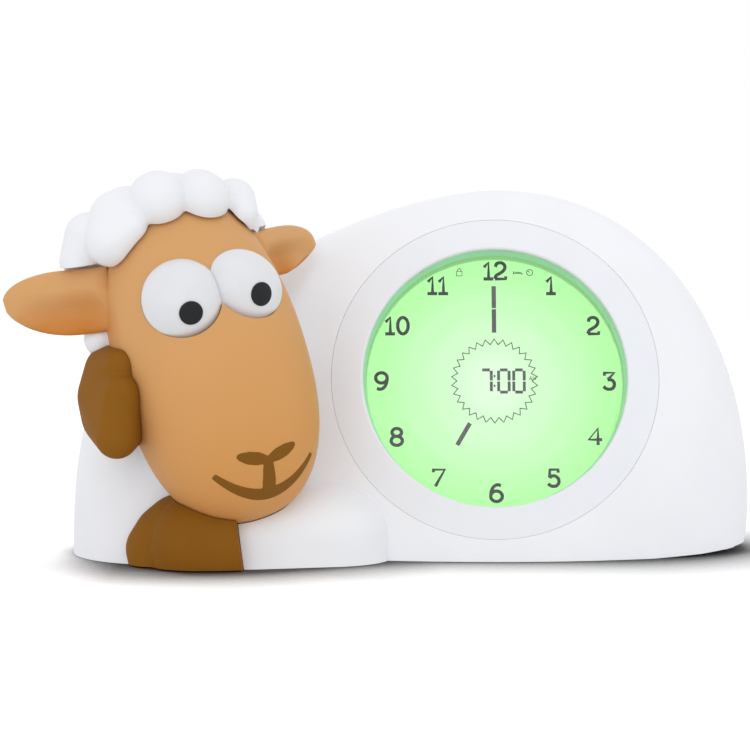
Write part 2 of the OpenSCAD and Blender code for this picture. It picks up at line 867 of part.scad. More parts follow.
bay_y = rear_y(bay_x, 35);
bay_wall = 1.4;
cell_pitch = 2 * cell_r + 0.3;
cell_count = 3;
cell_shift = 0.8;           // how far a cell lies towards its spring
nub_h = 1.4;
bay_w = cell_len + 6.5;     // room for the cells, their nubs and the contacts
bay_low = door_z + 2;
bay_high = bay_low + cell_count * cell_pitch + 0.3;
cell_y = -5.4 - cell_r;
bay_back = cell_y - cell_r - 0.3;
door_w = bay_w + 2 * bay_wall + 0.4;
door_h = bay_high - door_z + 11;
door_screw_z = door_z + door_h - 5;

module at_bay() {
    translate([bay_x, bay_y, 0]) rotate([0, 0, bay_turn]) children();
}

module door_prism(gap) {
    at_bay() translate([-door_w / 2 - gap, -20, door_z - gap]) cube([door_w + 2 * gap, 40, door_h + 2 * gap]);
}

module bay_block() {
    rim = 3;
    at_bay() {
        translate([-bay_w / 2 - bay_wall, bay_back - bay_wall, bay_low - bay_wall])
            cube([bay_w + 2 * bay_wall, 40, bay_high - bay_low + 2 * bay_wall]);
        translate([0, bay_back + 6, door_screw_z]) rotate([-90, 0, 0])
            cylinder(r = boss_r, h = 30, $fn = round_fn);
    }
    difference() {
        at_bay() translate([-door_w / 2 - rim, -20, door_z - rim])
            cube([door_w + 2 * rim, 40, door_h + 2 * rim]);
        dome(wall + fit + 1.6);
    }
}

module bay_hollow() {
    at_bay() {
        translate([-bay_w / 2, bay_back, bay_low]) cube([bay_w, 60, bay_high - bay_low]);
        translate([0, bay_back + 7, door_screw_z]) rotate([-90, 0, 0])
            cylinder(r = pilot_r, h = 40, $fn = round_fn);
    }
}

door_screw_y = -3.4;        // seat of the door screw's head behind the bay's frame
grip_count = 8;             // grooves for the thumb on the battery door
grip_pitch = 1.8;
grip_half = 9;
module battery_door() {
    color(warm_white) difference() {
        intersection() {
            dome(0);
            door_prism(0);
        }
        dome(wall);
        at_bay() {
            translate([0, -20, door_screw_z]) rotate([-90, 0, 0])
                cylinder(r = shank_r, h = 40, $fn = round_fn);
            translate([0, door_screw_y, door_screw_z]) rotate([-90, 0, 0])
                cylinder(r = screw_head_r + fit, h = 20, $fn = round_fn);
            for (i = [0:grip_count - 1]) let(z = door_z + 5 + grip_pitch * i) hull() for (side = [-1, 1])
                translate([side * grip_half, rear_y(bay_x, z) - bay_y, z]) sphere(r = 0.6, $fn = 8);
        }
    }
}

module door_screw() {
    color(steel) at_bay() translate([0, door_screw_y, door_screw_z]) rotate([-90, 0, 0]) screw(7);
}

module battery_cells() {
    color([0.35, 0.5, 0.4]) at_bay() for (i = [0:cell_count - 1])
        let(flip = i % 2 == 0 ? 1 : -1)
        translate([-flip * cell_shift, cell_y, bay_low + 0.3 + cell_r + i * cell_pitch])
            rotate([0, flip * 90, 0]) {
                translate([0, 0, -cell_len / 2]) cylinder(r = cell_r, h = cell_len);
                translate([0, 0, cell_len / 2]) cylinder(r = 2.7, h = nub_h);
            }
}

module battery_contacts() {
    plate = 0.5;
    nub_end = cell_len / 2 + nub_h - cell_shift;
    color(steel) at_bay() for (i = [0:cell_count - 1])
        let(flip = i % 2 == 0 ? 1 : -1)
        translate([0, cell_y, bay_low + 0.3 + cell_r + i * cell_pitch]) {
            for (side = [-1, 1]) translate([side * (bay_w / 2 - plate / 2) - plate / 2, -5, -5])
                cube([plate, 10, 10]);
            rotate([0, flip * 90, 0]) {
                translate([0, 0, nub_end]) cylinder(r = 2, h = bay_w / 2 - plate - nub_end);
                translate([0, 0, -bay_w / 2 + plate])
                    cylinder(r1 = 4.5, r2 = 2.6, h = bay_w / 2 - plate - cell_len / 2 - cell_shift);
            }
        }
}

// ---- Rear connections ----

usb_x = 66;
usb_w = 9;
usb_h = 3.2;
usb_face = rear_y(usb_x, board_z) - 1.2;
module usb_cut() {
    translate([usb_x - usb_w / 2 - fit, board_high.y - 4, board_z + board_t - fit])
        cube([usb_w + 2 * fit, 40, usb_h + 2 * fit]);
}

module usb_socket() {
    depth = 7.4;
    color(steel) translate([usb_x, usb_face, board_z + board_t]) {
        difference() {
            translate([-usb_w / 2, -depth, 0]) cube([usb_w, depth, usb_h]);
            translate([-usb_w / 2 + 0.4, -depth + 1, 0.4]) cube([usb_w - 0.8, depth, usb_h - 0.8]);
        }
        translate([-3, -depth + 0.5, 1.2]) cube([6, depth - 2, 0.8]);
    }
}

knob_x = 42;
knob_z = board_z + board_t + 3;
stem_w = 3;
knob_stem_h = 2;
module switch_slot() {
    translate([knob_x - stem_w / 2 - fit, split_y + 10, knob_z - knob_stem_h / 2 - fit])
        cube([stem_w + switch_travel + 2 * fit, 60, knob_stem_h + 2 * fit]);
}

switch_depth = 6;
switch_rear = board_high.y - 0.5;
module switch_body() {
    w = stem_w + switch_travel + 5;
    color([0.2, 0.2, 0.22]) difference() {
        translate([knob_x - stem_w / 2 - 2.5, switch_rear - switch_depth, board_z + board_t])
            cube([w, switch_depth, 5.6]);
        translate([knob_x - stem_w / 2 - fit, switch_rear - 3, knob_z - knob_stem_h / 2 - fit / 2])
            cube([stem_w + switch_travel + 2 * fit, 10, knob_stem_h + fit]);
    }
}

module switch_knob() {
    outer = rear_y(knob_x, knob_z);
    color([0.25, 0.25, 0.27]) {
        translate([knob_x - stem_w / 2, switch_rear - 2.7, knob_z - knob_stem_h / 2])
            cube([stem_w, outer + 1.8 - switch_rear + 2.7, knob_stem_h]);
        for (i = [-1:1]) translate([knob_x + i - 0.3, outer + 1.2, knob_z - knob_stem_h / 2 - 0.5])
            cube([0.6, 0.9, knob_stem_h + 1]);
    }
}

// ---- Head: its own frame, +Z to the crown and -Y out of the face ----

module at_head() {
    translate([head_x, body_y - head_out, head_z]) rotate([0, -head_lean, 0]) rotate([0, 0, head_turn])
        children();
}

function head_place(p) =
    let(
        q = [p.x * cos(head_turn) - p.y * sin(head_turn), p.x * sin(head_turn) + p.y * cos(head_turn), p.z],
        r = [q.x * cos(head_lean) - q.z * sin(head_lean), q.y, q.x * sin(head_lean) + q.z * cos(head_lean)]
    )
    r + [head_x, body_y - head_out, head_z];

// Half width and front depth of the head at a height of its own frame
function head_taper(z) = z > 0 ? rounded(z / crown, crown_n) : rounded(z / chin, head_n);
function head_width(z) = head_half * (1 - brow_narrowing * smooth(z / crown)) * head_taper(z);
function face_depth(z) = (muzzle - brow_setback * smooth(z / crown)) * head_taper(z);
function face_y(x, z) = -face_depth(z) * rounded(x / head_width(z), head_plan_n);

module head_core(inset) {
    limit = 86;
    rings = [
        for (row = [0:head_rows - 1])
            let(
                phi = -limit + 2 * limit * row / (head_rows - 1),
                reach = phi > 0 ? crown : chin,
                n = phi > 0 ? crown_n : head_n,
                z = (reach - inset) * signed_power(sin(phi), 2 / n),
                k = pow(cos(phi), 2 / n),
                brow = smooth(z / crown)
            )
            [for (t = turns(head_steps)) [
                (head_half * (1 - brow_narrowing * brow) - inset) * k * signed_power(cos(t), 2 / head_plan_n),
                (sin(t) > 0 ? nape - inset : muzzle - brow_setback * brow - inset) * k
                    * signed_power(sin(t), 2 / head_plan_n),
                z
            ]]
    ];
    loft(rings, [0, 0, -chin + inset], [0, 0, crown - inset]);
}

module head_form(inset) {
    at_head() head_core(inset);
}

// What the head gives way to: the body behind it, without the forearm
module body_clearance(gap) {
    dome(-gap);
    chest(-gap);
}

// Neck between the head and the body
neck_x = head_x - 2;
neck_z = head_z - 8;
neck_face = body_y - chest_out - chest_r * 0.58;    // middle of the joint between head and body
neck_flange_r = neck_r + 4;
neck_flange_t = 2;
neck_inner = neck_face - 14;
neck_outer = neck_face + 17;
module at_neck() {
    translate([neck_x, 0, neck_z]) rotate([-90, 0, 0]) children();
}

module neck_pad_in_body() {
    at_neck() translate([0, 0, neck_inner])
        cylinder(r = neck_flange_r + 1, h = neck_outer - neck_inner, $fn = 24);
}

module neck_tube() {
    color([0.8, 0.8, 0.82]) at_neck() difference() {
        union() {
            translate([0, 0, neck_inner]) cylinder(r = neck_flange_r, h = neck_flange_t);
            translate([0, 0, neck_inner]) cylinder(r = neck_r, h = neck_outer - neck_inner + 6);
        }
        translate([0, 0, neck_inner - 1]) cylinder(r = neck_r - neck_wall, h = neck_outer - neck_inner + 10);
    }
}

module neck_nut() {
    color([0.8, 0.8, 0.82]) at_neck() translate([0, 0, neck_outer]) difference() {
        cylinder(r = neck_flange_r, h = 4, $fn = 6);
        translate([0, 0, -1]) cylinder(r = neck_r + 0.05, h = 6);
    }
}

// Eyes: each a dome on a round stub, square to the face where it stands.
// Left and right: distance from the middle, height, share of the radius, turn to its own side
eye_shapes = [[12.2, 25.9, 1, 14], [10.7, 24.4, 0.92, 4]];
eye_lift = 8;               // upward tilt of both eyes
eye_sink = 1.5;             // how far the edge of the dome lies behind the face
eye_stub = 5;               // length of the stub inside the head
eye_seam = 0.25;
// Where each eye looks, as sideways and upward turns from its own axis
gaze = [[7, -24], [8, -20]];
function eye_shape(side) = eye_shapes[side > 0 ? 1 : 0];
function eye_edge(side) = eye_r * eye_shape(side)[2];
// From the middle of an eye's dome to the plane of its edge
function eye_base(side) = sqrt(pow(eye_dome_r, 2) - pow(eye_edge(side), 2));
module at_eye(side) {
    e = eye_shape(side);
    at_head() translate([side * e[0], face_y(e[0], e[1]) + eye_sink, e[1]])
        rotate([0, 0, side * e[3]]) rotate([90 - eye_lift, 0, 0]) translate([0, 0, -eye_base(side)]) children();
}

module at_pupil(side) {
    look = gaze[side > 0 ? 1 : 0];
    at_eye(side) rotate([-look.y, look.x, 0]) translate([0, 0, eye_dome_r - pupil_floor]) children();
}

pupil_floor = 1.2;          // depth of a pupil's pocket
pupil_proud = 0.3;
module eyes() {
    block = 3 * eye_r;
    color("white") for (side = [-1, 1]) difference() {
        at_eye(side) rotate_extrude() polygon(concat(
            [[0, eye_base(side) - eye_stub], [eye_edge(side), eye_base(side) - eye_stub]],
            [for (i = [0:9]) let(a = mix(acos(eye_edge(side) / eye_dome_r), 90, i / 10))
                [eye_dome_r * cos(a), eye_dome_r * sin(a)]],
            [[0, eye_dome_r]]
        ));
        at_head() translate([side > 0 ? eye_seam / 2 - block : -eye_seam / 2, -2 * block, 0])
            cube([block, 3 * block, 2 * block]);
        at_pupil(side) cylinder(r = pupil_r + 0.05, h = 5);
    }
}

module pupils() {
    color([0.1, 0.1, 0.12]) for (side = [-1, 1]) intersection() {
        at_eye(side) sphere(r = eye_dome_r + pupil_proud, $fn = 128);
        at_pupil(side) cylinder(r = pupil_r, h = 5);
    }
}

module eye_holes() {
    for (side = [-1, 1]) at_eye(side) translate([0, 0, eye_base(side) - eye_stub - 3])
        cylinder(r = eye_edge(side) + fit / 2, h = 30, $fn = 40);
}

// Nose and smile: strokes on the face, each from one point to the next as [x, z, half width]
nose_z = -31;
mark_proud = 0.4;
mark_depth = 0.7;
smile_w = 17.7;             // half width of the smile
smile_steps = 8;
function smile_at(t) = [smile_w * t, -12 + 9.5 * t * t, 2 - 1.1 * abs(t)];
mark_strokes = concat(
    [for (side = [-1, 1]) [[side * 8, 1.6, 1.8], [side * 2, 0, 2]]],
    [[[0, -0.2, 1.8], [0, -10.8, 1.9]]],
    [for (i = [0:smile_steps - 1]) [for (k = [i, i + 1]) smile_at(mix(-1, 1, k / smile_steps))]]
);
module mark_prism(gap) {
    at_head() translate([0, 0, nose_z]) for (s = mark_strokes) hull() for (end = s)
        translate([end.x, 0, end.y]) rotate([90, 0, 0]) cylinder(r = end.z + gap, h = 60, $fn = 16);
}

module nose_and_mouth() {
    color([0.53, 0.35, 0.14]) difference() {
        intersection() {
            mark_prism(0);
            head_form(-mark_proud);
        }
        head_form(mark_depth);
    }
}

module face_shell() {
    color(tan_skin) difference() {
        head_form(0);
        head_form(head_wall);
        at_head() translate([-span / 2, 0, -span / 2]) cube(span);
        eye_holes();
        difference() {
            mark_prism(0.1);
            head_form(mark_depth + 0.1);
        }
        guide_hole();
        ear_form(-1, fit);
        ear_form(1, fit);
        body_clearance(fit);
    }
}

module head_back() {
    rail_x = 13;
    color("white") difference() {
        union() {
            difference() {
                union() {
                    head_form(0);
                    curls(nape_curls, 0);
                }
                head_form(head_wall);
            }
            intersection() {
                head_form(1);
                union() {
                    at_head() for (side = [-1, 1]) translate([side * rail_x - 1.5, 2, head_board_z - 3])
                        cube([3, nape, 3]);
                    at_neck() translate([0, 0, neck_inner + neck_flange_t])
                        cylinder(r = neck_flange_r + 1, h = 40, $fn = 24);
                }
            }
        }
        at_head() translate([-span / 2, -span, -span / 2]) cube(span);
        difference() {
            above_hair(-curl_hang - cap_travel - 1);
            head_form(0);
        }
        guide_hole();
        ear_form(-1, fit);
        ear_form(1, fit);
        at_neck() translate([0, 0, -span / 2]) cylinder(r = neck_r + fit, h = span, $fn = 24);
        body_clearance(fit);
    }
}

// Wool cap with its stem, guide, spring and switch
hair_z = 32;                // level of the hairline, square to its tilt
hair_tilt = 31;             // rise of the hairline towards the forehead
curl_hang = 3;              // how far the curls hang below the hairline
guide_y = 1;
guide_r = stem_r + 3;
guide_top = crown - 2;
guide_h = 12;
collar_r = stem_r + 2.5;
collar_t = 2;
stem_end = guide_top - guide_h - 0.1 - collar_t;
spring_h = 7;
head_board_z = stem_end - spring_h - board_t;
module guide_hole() {
    at_head() translate([0, guide_y, guide_top - guide_h + 4]) cylinder(r = guide_r + 0.1, h = 20, $fn = 32);
}

module cap_guide() {
    color([0.8, 0.8, 0.82]) at_head() translate([0, guide_y, guide_top - guide_h]) difference() {
        union() {
            cylinder(r = guide_r, h = guide_h);
            cylinder(r = guide_r + 2.5, h = 4 - fit);
        }
        translate([0, 0, -1]) cylinder(r = stem_r + pin_play, h = guide_h + 2);
    }
}

module cap_stem() {
    color([0.8, 0.8, 0.82]) at_head() translate([0, guide_y, 0]) {
        translate([0, 0, stem_end]) cylinder(r = stem_r, h = crown + cap_gap + 2 - stem_end);
        translate([0, 0, stem_end]) cylinder(r = collar_r, h = collar_t);
    }
}

// Curls of the cap, and of the back of the head below it: place and share of the curl's radius
cap_curls = [
    [-27.5, 3, 47, 0.78], [-22.5, -4, 50.5, 0.82], [-15.5, -6.5, 53.8, 0.96], [-3.5, -8.5, 55.6, 1],
    [9.5, -8, 54, 0.98], [19.5, -5, 49.6, 0.88], [24, 0, 44.5, 0.66],
    [-25, 10, 49, 0.84], [-12, 5, 55, 0.95], [4, 5, 55.4, 0.95], [17, 7, 51.5, 0.9], [27, 10, 41, 0.72],
    [-27, 17, 38, 0.84], [-15, 19, 47, 0.98], [2, 19, 49, 1], [18, 18, 44, 0.94],
    [-14, 22.5, 34, 0.98], [3, 22.5, 35, 1], [19, 20, 32, 0.92]
];
nape_curls = [[-27, 15, 18, 0.58], [-16, 20.5, 13, 0.7], [16, 20.5, 13, 0.7], [27, 14, 17, 0.6]];
module curls(places, gap) {
    at_head() for (p = places) hull() {
        translate([p[0], p[1], p[2]]) sphere(r = curl_r * p[3] + gap, $fn = p[3] > 0.75 ? 14 : 10);
        translate(0.9 * [p[0], p[1], p[2]]) sphere(r = curl_r * p[3] * 0.8 + gap, $fn = 6);
    }
}

// Everything above a level of the tilted hairline, or below it
module above_hair(rise) {
    at_head() rotate([-hair_tilt, 0, 0]) translate([-span / 2, -span / 2, hair_z + rise]) cube(span);
}

module below_hair(rise) {
    at_head() rotate([-hair_tilt, 0, 0]) translate([-span / 2, -span / 2, hair_z + rise - span]) cube(span);
}

module wool_cap() {
    color("white") difference() {
        union() {
            curls(cap_curls, 0);
            intersection() {
                head_form(-cap_gap - 2.4);
                above_hair(5);
            }
        }
        head_form(-cap_gap);
        below_hair(-curl_hang);
        at_head() translate([0, guide_y, 0]) cylinder(r = stem_r + 0.05, h = crown + cap_gap + 2.05, $fn = 32);
        ear_form(-1, cap_travel + fit);
        ear_form(1, cap_travel + fit);
        for (side = [-1, 1]) at_eye(side) cylinder(r = eye_edge(side) + cap_travel + fit, h = 30, $fn = 32);
    }
}

module cap_spring() {
    coils = 4;
    wire = 0.45;
    mean_r = collar_r - 1;
    steps = 10;
    sides = 5;
    rise = spring_h - 2 * wire;
    rings = [for (i = [0:coils * steps]) let(a = 360 * i / steps, z = wire + rise * i / (coils * steps))
        [for (k = [0:sides - 1]) let(b = -360 * k / sides)
            [(mean_r + wire * cos(b)) * cos(a), (mean_r + wire * cos(b)) * sin(a), z + wire * sin(b)]]
    ];
    color(steel) at_head() translate([0, guide_y, head_board_z + board_t])
        loft(rings, [mean_r, 0, wire], [mean_r, 0, wire + rise]);
}

module head_board() {
    color(board_green) at_head() translate([-17, -9, head_board_z]) cube([34, 22, board_t]);
}

module cap_switch() {
    height = spring_h - cap_travel - 0.05;
    color([0.2, 0.2, 0.22]) at_head() translate([0, guide_y, head_board_z + board_t]) {
        translate([-3, -3, 0]) cube([6, 6, height - 2]);
        cylinder(r = 1.6, h = height);
    }
}

// Left and right ear: height of the root, rise to the tip, half breadth
ear_shapes = [[32.3, 8.2, 11], [31.8, -2.5, 7.8]];
ear_len = 37.5;
ear_sweep = 34;             // turn of both ears towards the back
ear_root = 3;               // how far an ear starts inside the head's side
ear_steps = 8;
ear_thick = [4.2, 1.6];     // half thickness at the root and at the tip
ear_hollow = [26, 9, 12];
ear_hollow_at = [18, -10.3, -2];
ear_root_x = head_width(ear_shapes[0][0]) - ear_root;
function ear_shape(side) = ear_shapes[side > 0 ? 1 : 0];
module at_ear(side) {
    at_head() translate([side * ear_root_x, 0.5, ear_shape(side)[0]])
        rotate([0, 0, side * ear_sweep]) children();
}

// Station along an ear: distance, height, half breadth and half thickness
function ear_station(shape, i) = let(t = i / ear_steps) [
    ear_len * t,
    shape[1] * pow(t, 1.5),
    shape[2] * sqrt(max(0.02, 1 - pow(abs(t - 0.42) / 0.6, 3))),
    mix(ear_thick[0], ear_thick[1], t)
];
module ear_slice(side, i, gap) {
    s = ear_station(ear_shape(side), i);
    translate([side * s[0], 0, s[1]]) scale([s[3] / 2 + 0.6, s[3] + gap, s[2] + gap]) sphere(r = 1, $fn = 14);
}

module ear_form(side, gap) {
    at_ear(side) for (i = [0:ear_steps - 1]) hull() {
        ear_slice(side, i, gap);
        ear_slice(side, i + 1, gap);
    }
}

module ear(side) {
    color(tan_skin) difference() {
        ear_form(side, 0);
        head_form(head_wall);
        at_ear(side) translate([side * ear_hollow_at.x, ear_hollow_at.y, ear_hollow_at.z])
            scale(ear_hollow) sphere(r = 1, $fn = 24);
    }
}

module ear_left() { ear(-1); }

module ear_right() { ear(1); }

// ---- Hooves ----

// A lobe through a row of balls, each a place and a radius
module placed_ball(at, r) {
    translate(at) sphere(r = r, $fn = 18);
}

module lobe(balls) {
    for (i = [0:len(balls) - 2]) hull() for (k = [0, 1]) placed_ball(balls[i + k][0], balls[i + k][1]);
}

module upper_hoof() {
    y = body_y - 50;
    color(brown_hoof) difference() {
        union() {
            lobe([[[-84.5, y - 16, 68.6], 5], [[-88, y - 2, 71.3], 5], [[-92, y, 66], 7.5], [[-92, y, 57], 9]]);
            hull() {
                placed_ball([-92, y, 57], 9);
                placed_ball([-90.3, y - 2, 51], 9);
                placed_ball([-84.3, y - 20, 59.8], 6);
                placed_ball([-84.5, y - 18, 45.3], 6.8);
                placed_ball([-87, y - 3, 44.8], 7.3);
                placed_ball([-88, y + 14, 56], 10);
            }
        }
        head_form(-fit);
        curls(nape_curls, fit);
        body_clearance(fit);
    }
}

module lower_hoof() {
    y = body_y - 50;
    color(brown_hoof) difference() {
        union() {
            lobe([
                [[-46, y + 2, 8], 15], [[-54, y + 1, 8.5], 16], [[-62, y, 9], 16.2],
                [[-67, y - 1, 9], 14.8], [[-70, y - 1, 8], 12.3]
            ]);
            lobe([
                [[-60, y + 6, 8], 13], [[-68, y + 5, 8], 13], [[-73, y + 4, 7.5], 11.3],
                [[-76, y + 4, 7], 9.8], [[-78, y + 4, 6.5], 7.6]
            ]);
        }
        below(0.6);
        right_of(cuff_x - fit / 2);
        head_form(-fit);
        body_clearance(fit);
    }
}

// ---- Leads ----

lead_r = 1;
module speaker_lead() {
    color([0.7, 0.1, 0.1]) lead([
        [speaker_x, speaker_seat - 12 - 2.4 * lead_r, speaker_z - 4],
        [speaker_x - 8, 38, 66], [speaker_x - 12, 40, 50],
        [speaker_x - 10, 42, 30], [30, 38, 18], [28, 38, board_z + board_t + lead_r]
    ], lead_r);
}

module battery_lead() {
    color([0.1, 0.1, 0.1]) lead([
        [-30, bay_y + bay_back - bay_wall - 1.2, 30], [-22, 30, 20], [-10, 30, 8], [-1, 31, 8], [6, 33, 13],
        [14, 33, board_z + board_t + lead_r]
    ], lead_r);
}

module head_lead() {
    color([0.1, 0.1, 0.1]) lead([
        head_place([8, 6, head_board_z - lead_r]), [neck_x + 1, neck_inner - 9, neck_z + 10],
        [neck_x, neck_inner - 3, neck_z + 1], [neck_x, neck_inner + 5, neck_z],
        [neck_x, neck_face + 6, neck_z], [neck_x, neck_outer + 8, neck_z - 1],
        [neck_x + 8, neck_outer + 13, neck_z - 12],
        [-40, 26, 30], [-20, 24, 8], [0, 22, 8], [8, 27, 13], [16, 27, board_z + board_t + lead_r]
    ], lead_r);
}

front_shell();
rear_shell();
base_plate();
rubber_feet();
base_screws();
case_screws();
control_ring();
gimbal_ring();
dial_bezel();
dial_carrier();
carrier_screws();
display_lens();
lcd_panel();
lcd_segments();
diffuser();
reflector();
led_board();
leds();
switch_board();
switch_domes();
main_board();
board_posts();
board_screws();
chips();
speaker_frame();
speaker_cone();
speaker_magnet();
battery_door();
door_screw();
battery_cells();
battery_contacts();
usb_socket();
switch_body();
switch_knob();
face_shell();
head_back();
wool_cap();
cap_stem();
cap_guide();
cap_spring();
head_board();
cap_switch();
ear_left();
ear_right();
eyes();
pupils();
nose_and_mouth();
upper_hoof();
lower_hoof();
neck_tube();
neck_nut();
speaker_lead();
battery_lead();
head_lead();
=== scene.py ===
"""A children's alarm clock with night light, dressed in its real surfaces.

The round body, the lamb's head and the display are modelled here as smooth pieces that stand for the
frame's own faceted solids, in the same place and at the same size. Lengths are metres.
"""

import math

import bmesh
import bpy
from bpy.props import FloatProperty, FloatVectorProperty, IntProperty, PointerProperty
from mathutils import Matrix, Vector


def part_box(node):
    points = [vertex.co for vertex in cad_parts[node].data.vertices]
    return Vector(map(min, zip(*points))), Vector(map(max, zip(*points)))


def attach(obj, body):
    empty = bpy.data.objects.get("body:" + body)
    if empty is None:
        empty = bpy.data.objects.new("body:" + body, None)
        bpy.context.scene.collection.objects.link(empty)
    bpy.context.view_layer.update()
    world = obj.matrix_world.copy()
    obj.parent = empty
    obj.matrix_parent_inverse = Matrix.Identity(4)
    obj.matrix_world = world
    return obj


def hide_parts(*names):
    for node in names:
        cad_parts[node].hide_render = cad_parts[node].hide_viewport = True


bl_info = {
    "name": "Lamb Alarm Clock",
    "version": (1, 0, 0),
    "blender": (4, 5, 0),
    "location": "View3D > Sidebar > Lamb Clock",
    "description": "Models and paints a children's alarm clock with night light on its packed frame",
    "category": "Object",
}

MM = 0.001
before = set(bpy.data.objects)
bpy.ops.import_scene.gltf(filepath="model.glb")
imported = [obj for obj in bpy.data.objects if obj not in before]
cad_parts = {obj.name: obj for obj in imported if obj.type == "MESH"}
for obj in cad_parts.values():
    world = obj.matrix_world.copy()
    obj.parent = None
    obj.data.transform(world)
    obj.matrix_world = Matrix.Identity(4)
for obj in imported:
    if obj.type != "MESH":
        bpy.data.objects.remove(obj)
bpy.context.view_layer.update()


# ---- Sizes and colours that a user would change ----


def length(name, description, millimetres):
    """A length property, given in millimetres."""
    return FloatProperty(
        name=name, description=description, default=millimetres * MM,
        unit='LENGTH', subtype='DISTANCE', precision=4,
    )


def turn(name, description, degrees):
    """An angle property, given in degrees."""
    return FloatProperty(
        name=name, description=description, default=math.radians(degrees), unit='ROTATION', subtype='ANGLE',
    )


def paint(name, description, red, green, blue):
    """A colour property, given as linear red, green and blue."""
    return FloatVectorProperty(
        name=name, description=description, default=(red, green, blue),
        subtype='COLOR', size=3, min=0.0, max=1.0,
    )


class LambBodySizes(bpy.types.PropertyGroup):
    height: length("Height", "Ridge of the body above the table", 126)
    ridge_x: length("Ridge", "Ridge of the body to the right of the origin", 40)
    middle_y: length("Middle plane", "Middle plane of the body behind the origin", 22)
    right: length("Right reach", "Reach of the body to the right of its ridge", 88)
    left: length("Left reach", "Reach of the body to the left of its ridge", 146)
    front: length("Front reach", "Reach of the body in front of its middle plane", 35)
    rear: length("Rear reach", "Reach of the body behind its middle plane", 36)
    lean: length("Lean", "How far the ridge lies behind the middle plane", 9)
    belly: length("Belly", "Height of the widest level", 16)
    wall: length("Wall", "Thickness of the shells", 2.4)
    lower_edge: length("Lower edge", "Gap between the shells and the table", 0.15)
    ridge_ease: length("Ridge ease", "How far the dome's rounding lowers its ridge", 1.2)
    split: length("Parting", "Parting plane behind the middle plane", 4)
    chest_x: length("Chest across", "Middle of the chest to the right of the origin", -71)
    chest_out: length("Chest out", "Middle of the chest in front of the middle plane", 10)
    chest_r: length("Chest radius", "Radius of the chest", 35.2)
    chest_height: length("Chest height", "Height of the chest", 78)
    arm_r: length("Arm radius", "Radius of the forearm seen from above", 23.5)
    arm_height: length("Arm height", "Height of the forearm", 26.5)
    elbow: FloatVectorProperty(
        name="Elbow", description="Elbow to the right of the origin and before the middle plane",
        default=(-20 * MM, 27 * MM), size=2, unit='LENGTH', subtype='XYZ_LENGTH',
    )
    wrist: FloatVectorProperty(
        name="Wrist", description="Wrist to the right of the origin and before the middle plane",
        default=(-46 * MM, 33 * MM), size=2, unit='LENGTH', subtype='XYZ_LENGTH',
    )
    cuff_x: length("Cuff", "Flat end of the sleeve to the right of the origin", -47)


class LambDisplaySizes(bpy.types.PropertyGroup):
    tilt: turn("Tilt", "Backward tilt of the display", 17)
    window_r: length("Window", "Radius of the window", 45)
    ring_w: length("Ring width", "Width of the control ring's face", 11.5)
    ring_t: length("Ring thickness", "Thickness of the control ring's face", 1.8)
    ring_gap: length("Ring gap", "Gap round the control ring", 0.06)
    ring_inset: length("Ring inset", "How far the ring's rounded edge stays inside its nominal radius", 0.56)
    recess: length("Recess", "Depth of the lens behind the window's rim", 6)
    crown: length("Crown", "Drop of the crowned ring from its middle to its edge", 6.2)
    lens_t: length("Lens", "Thickness of the lens", 1.5)
    numeral_r: length("Numeral circle", "Radius of the circle of numerals", 39.1)
    numeral_h: length("Numeral height", "Height of a numeral", 6.95)
    numeral_stroke: length("Numeral stroke", "Width of a numeral's strokes", 1.16)


class LambHeadSizes(bpy.types.PropertyGroup):
    across: length("Across", "Middle of the head to the right of the origin", -56)
    out: length("Out", "Middle of the head in front of the body's middle plane", 48)
    height: length("Height", "Height of the middle of the head", 66)
    lean: turn("Lean", "Sideways lean of the head", 16)
    turn: turn("Turn", "Turn of the face towards the display", 23)
    half: length("Half width", "Half width of the head", 31.6)
    muzzle: length("Muzzle", "Reach of the muzzle", 32)
    nape: length("Nape", "Reach of the back of the head", 25)
    crown: length("Crown", "Reach from the middle to the crown", 58)
    chin: length("Chin", "Reach from the middle to the chin", 52)
    wall: length("Wall", "Thickness of the head's shells", 2.2)
    eye_r: length("Eye", "Radius of the left eye's outline", 13)
    eye_dome: length("Eye dome", "Radius of an eye's dome", 15)
    pupil_r: length("Pupil", "Radius of a pupil", 3.9)
    cap_gap: length("Cap gap", "Gap between the wool cap and the head", 1.2)
    curl_r: length("Curl", "Radius of a wool curl", 12)
    hair_z: length("Hairline", "Height of the hairline's plane over the middle of the head", 32)
    hair_tilt: turn("Hairline tilt", "Rise of the hairline towards the face", 31)
    curl_hang: length("Curl hang", "How far the curls hang below the hairline's plane", 6)


class LambFinishes(bpy.types.PropertyGroup):
    shell: paint("Shell", "White moulding of the body", 0.86, 0.875, 0.90)
    ring: paint("Ring", "White moulding of the control ring", 0.82, 0.84, 0.87)
    wool: paint("Wool", "White moulding of the wool", 0.83, 0.845, 0.87)
    skin: paint("Skin", "Tan moulding of the face and ears", 0.66, 0.350, 0.136)
    # Ear hollow and Chin are painted shade: the tan deepened where the ears' hollows and the underside of the
    # head lie in shade
    ear_hollow: paint("Ear hollow", "Deeper tan in the hollow of the ears", 0.56, 0.19, 0.02)
    chin: paint("Chin", "Deeper tan towards the chin", 0.66, 0.315, 0.092)
    hoof: paint("Hoof", "Brown moulding of the hooves", 0.255, 0.104, 0.011)
    mark: paint("Mark", "Brown inlay of the nose and mouth", 0.225, 0.098, 0.014)
    eye: paint("Eye", "Gloss white of the eyes", 0.74, 0.75, 0.765)
    pupil: paint("Pupil", "Gloss black of the pupils", 0.010, 0.012, 0.014)
    glow_middle: paint("Glow middle", "Light of the display at its middle", 0.74, 0.97, 0.70)
    glow_rim: paint("Glow rim", "Light of the display near its rim", 0.44, 0.96, 0.365)
    ink: paint("Ink", "Dark print of the numerals", 0.042, 0.045, 0.047)


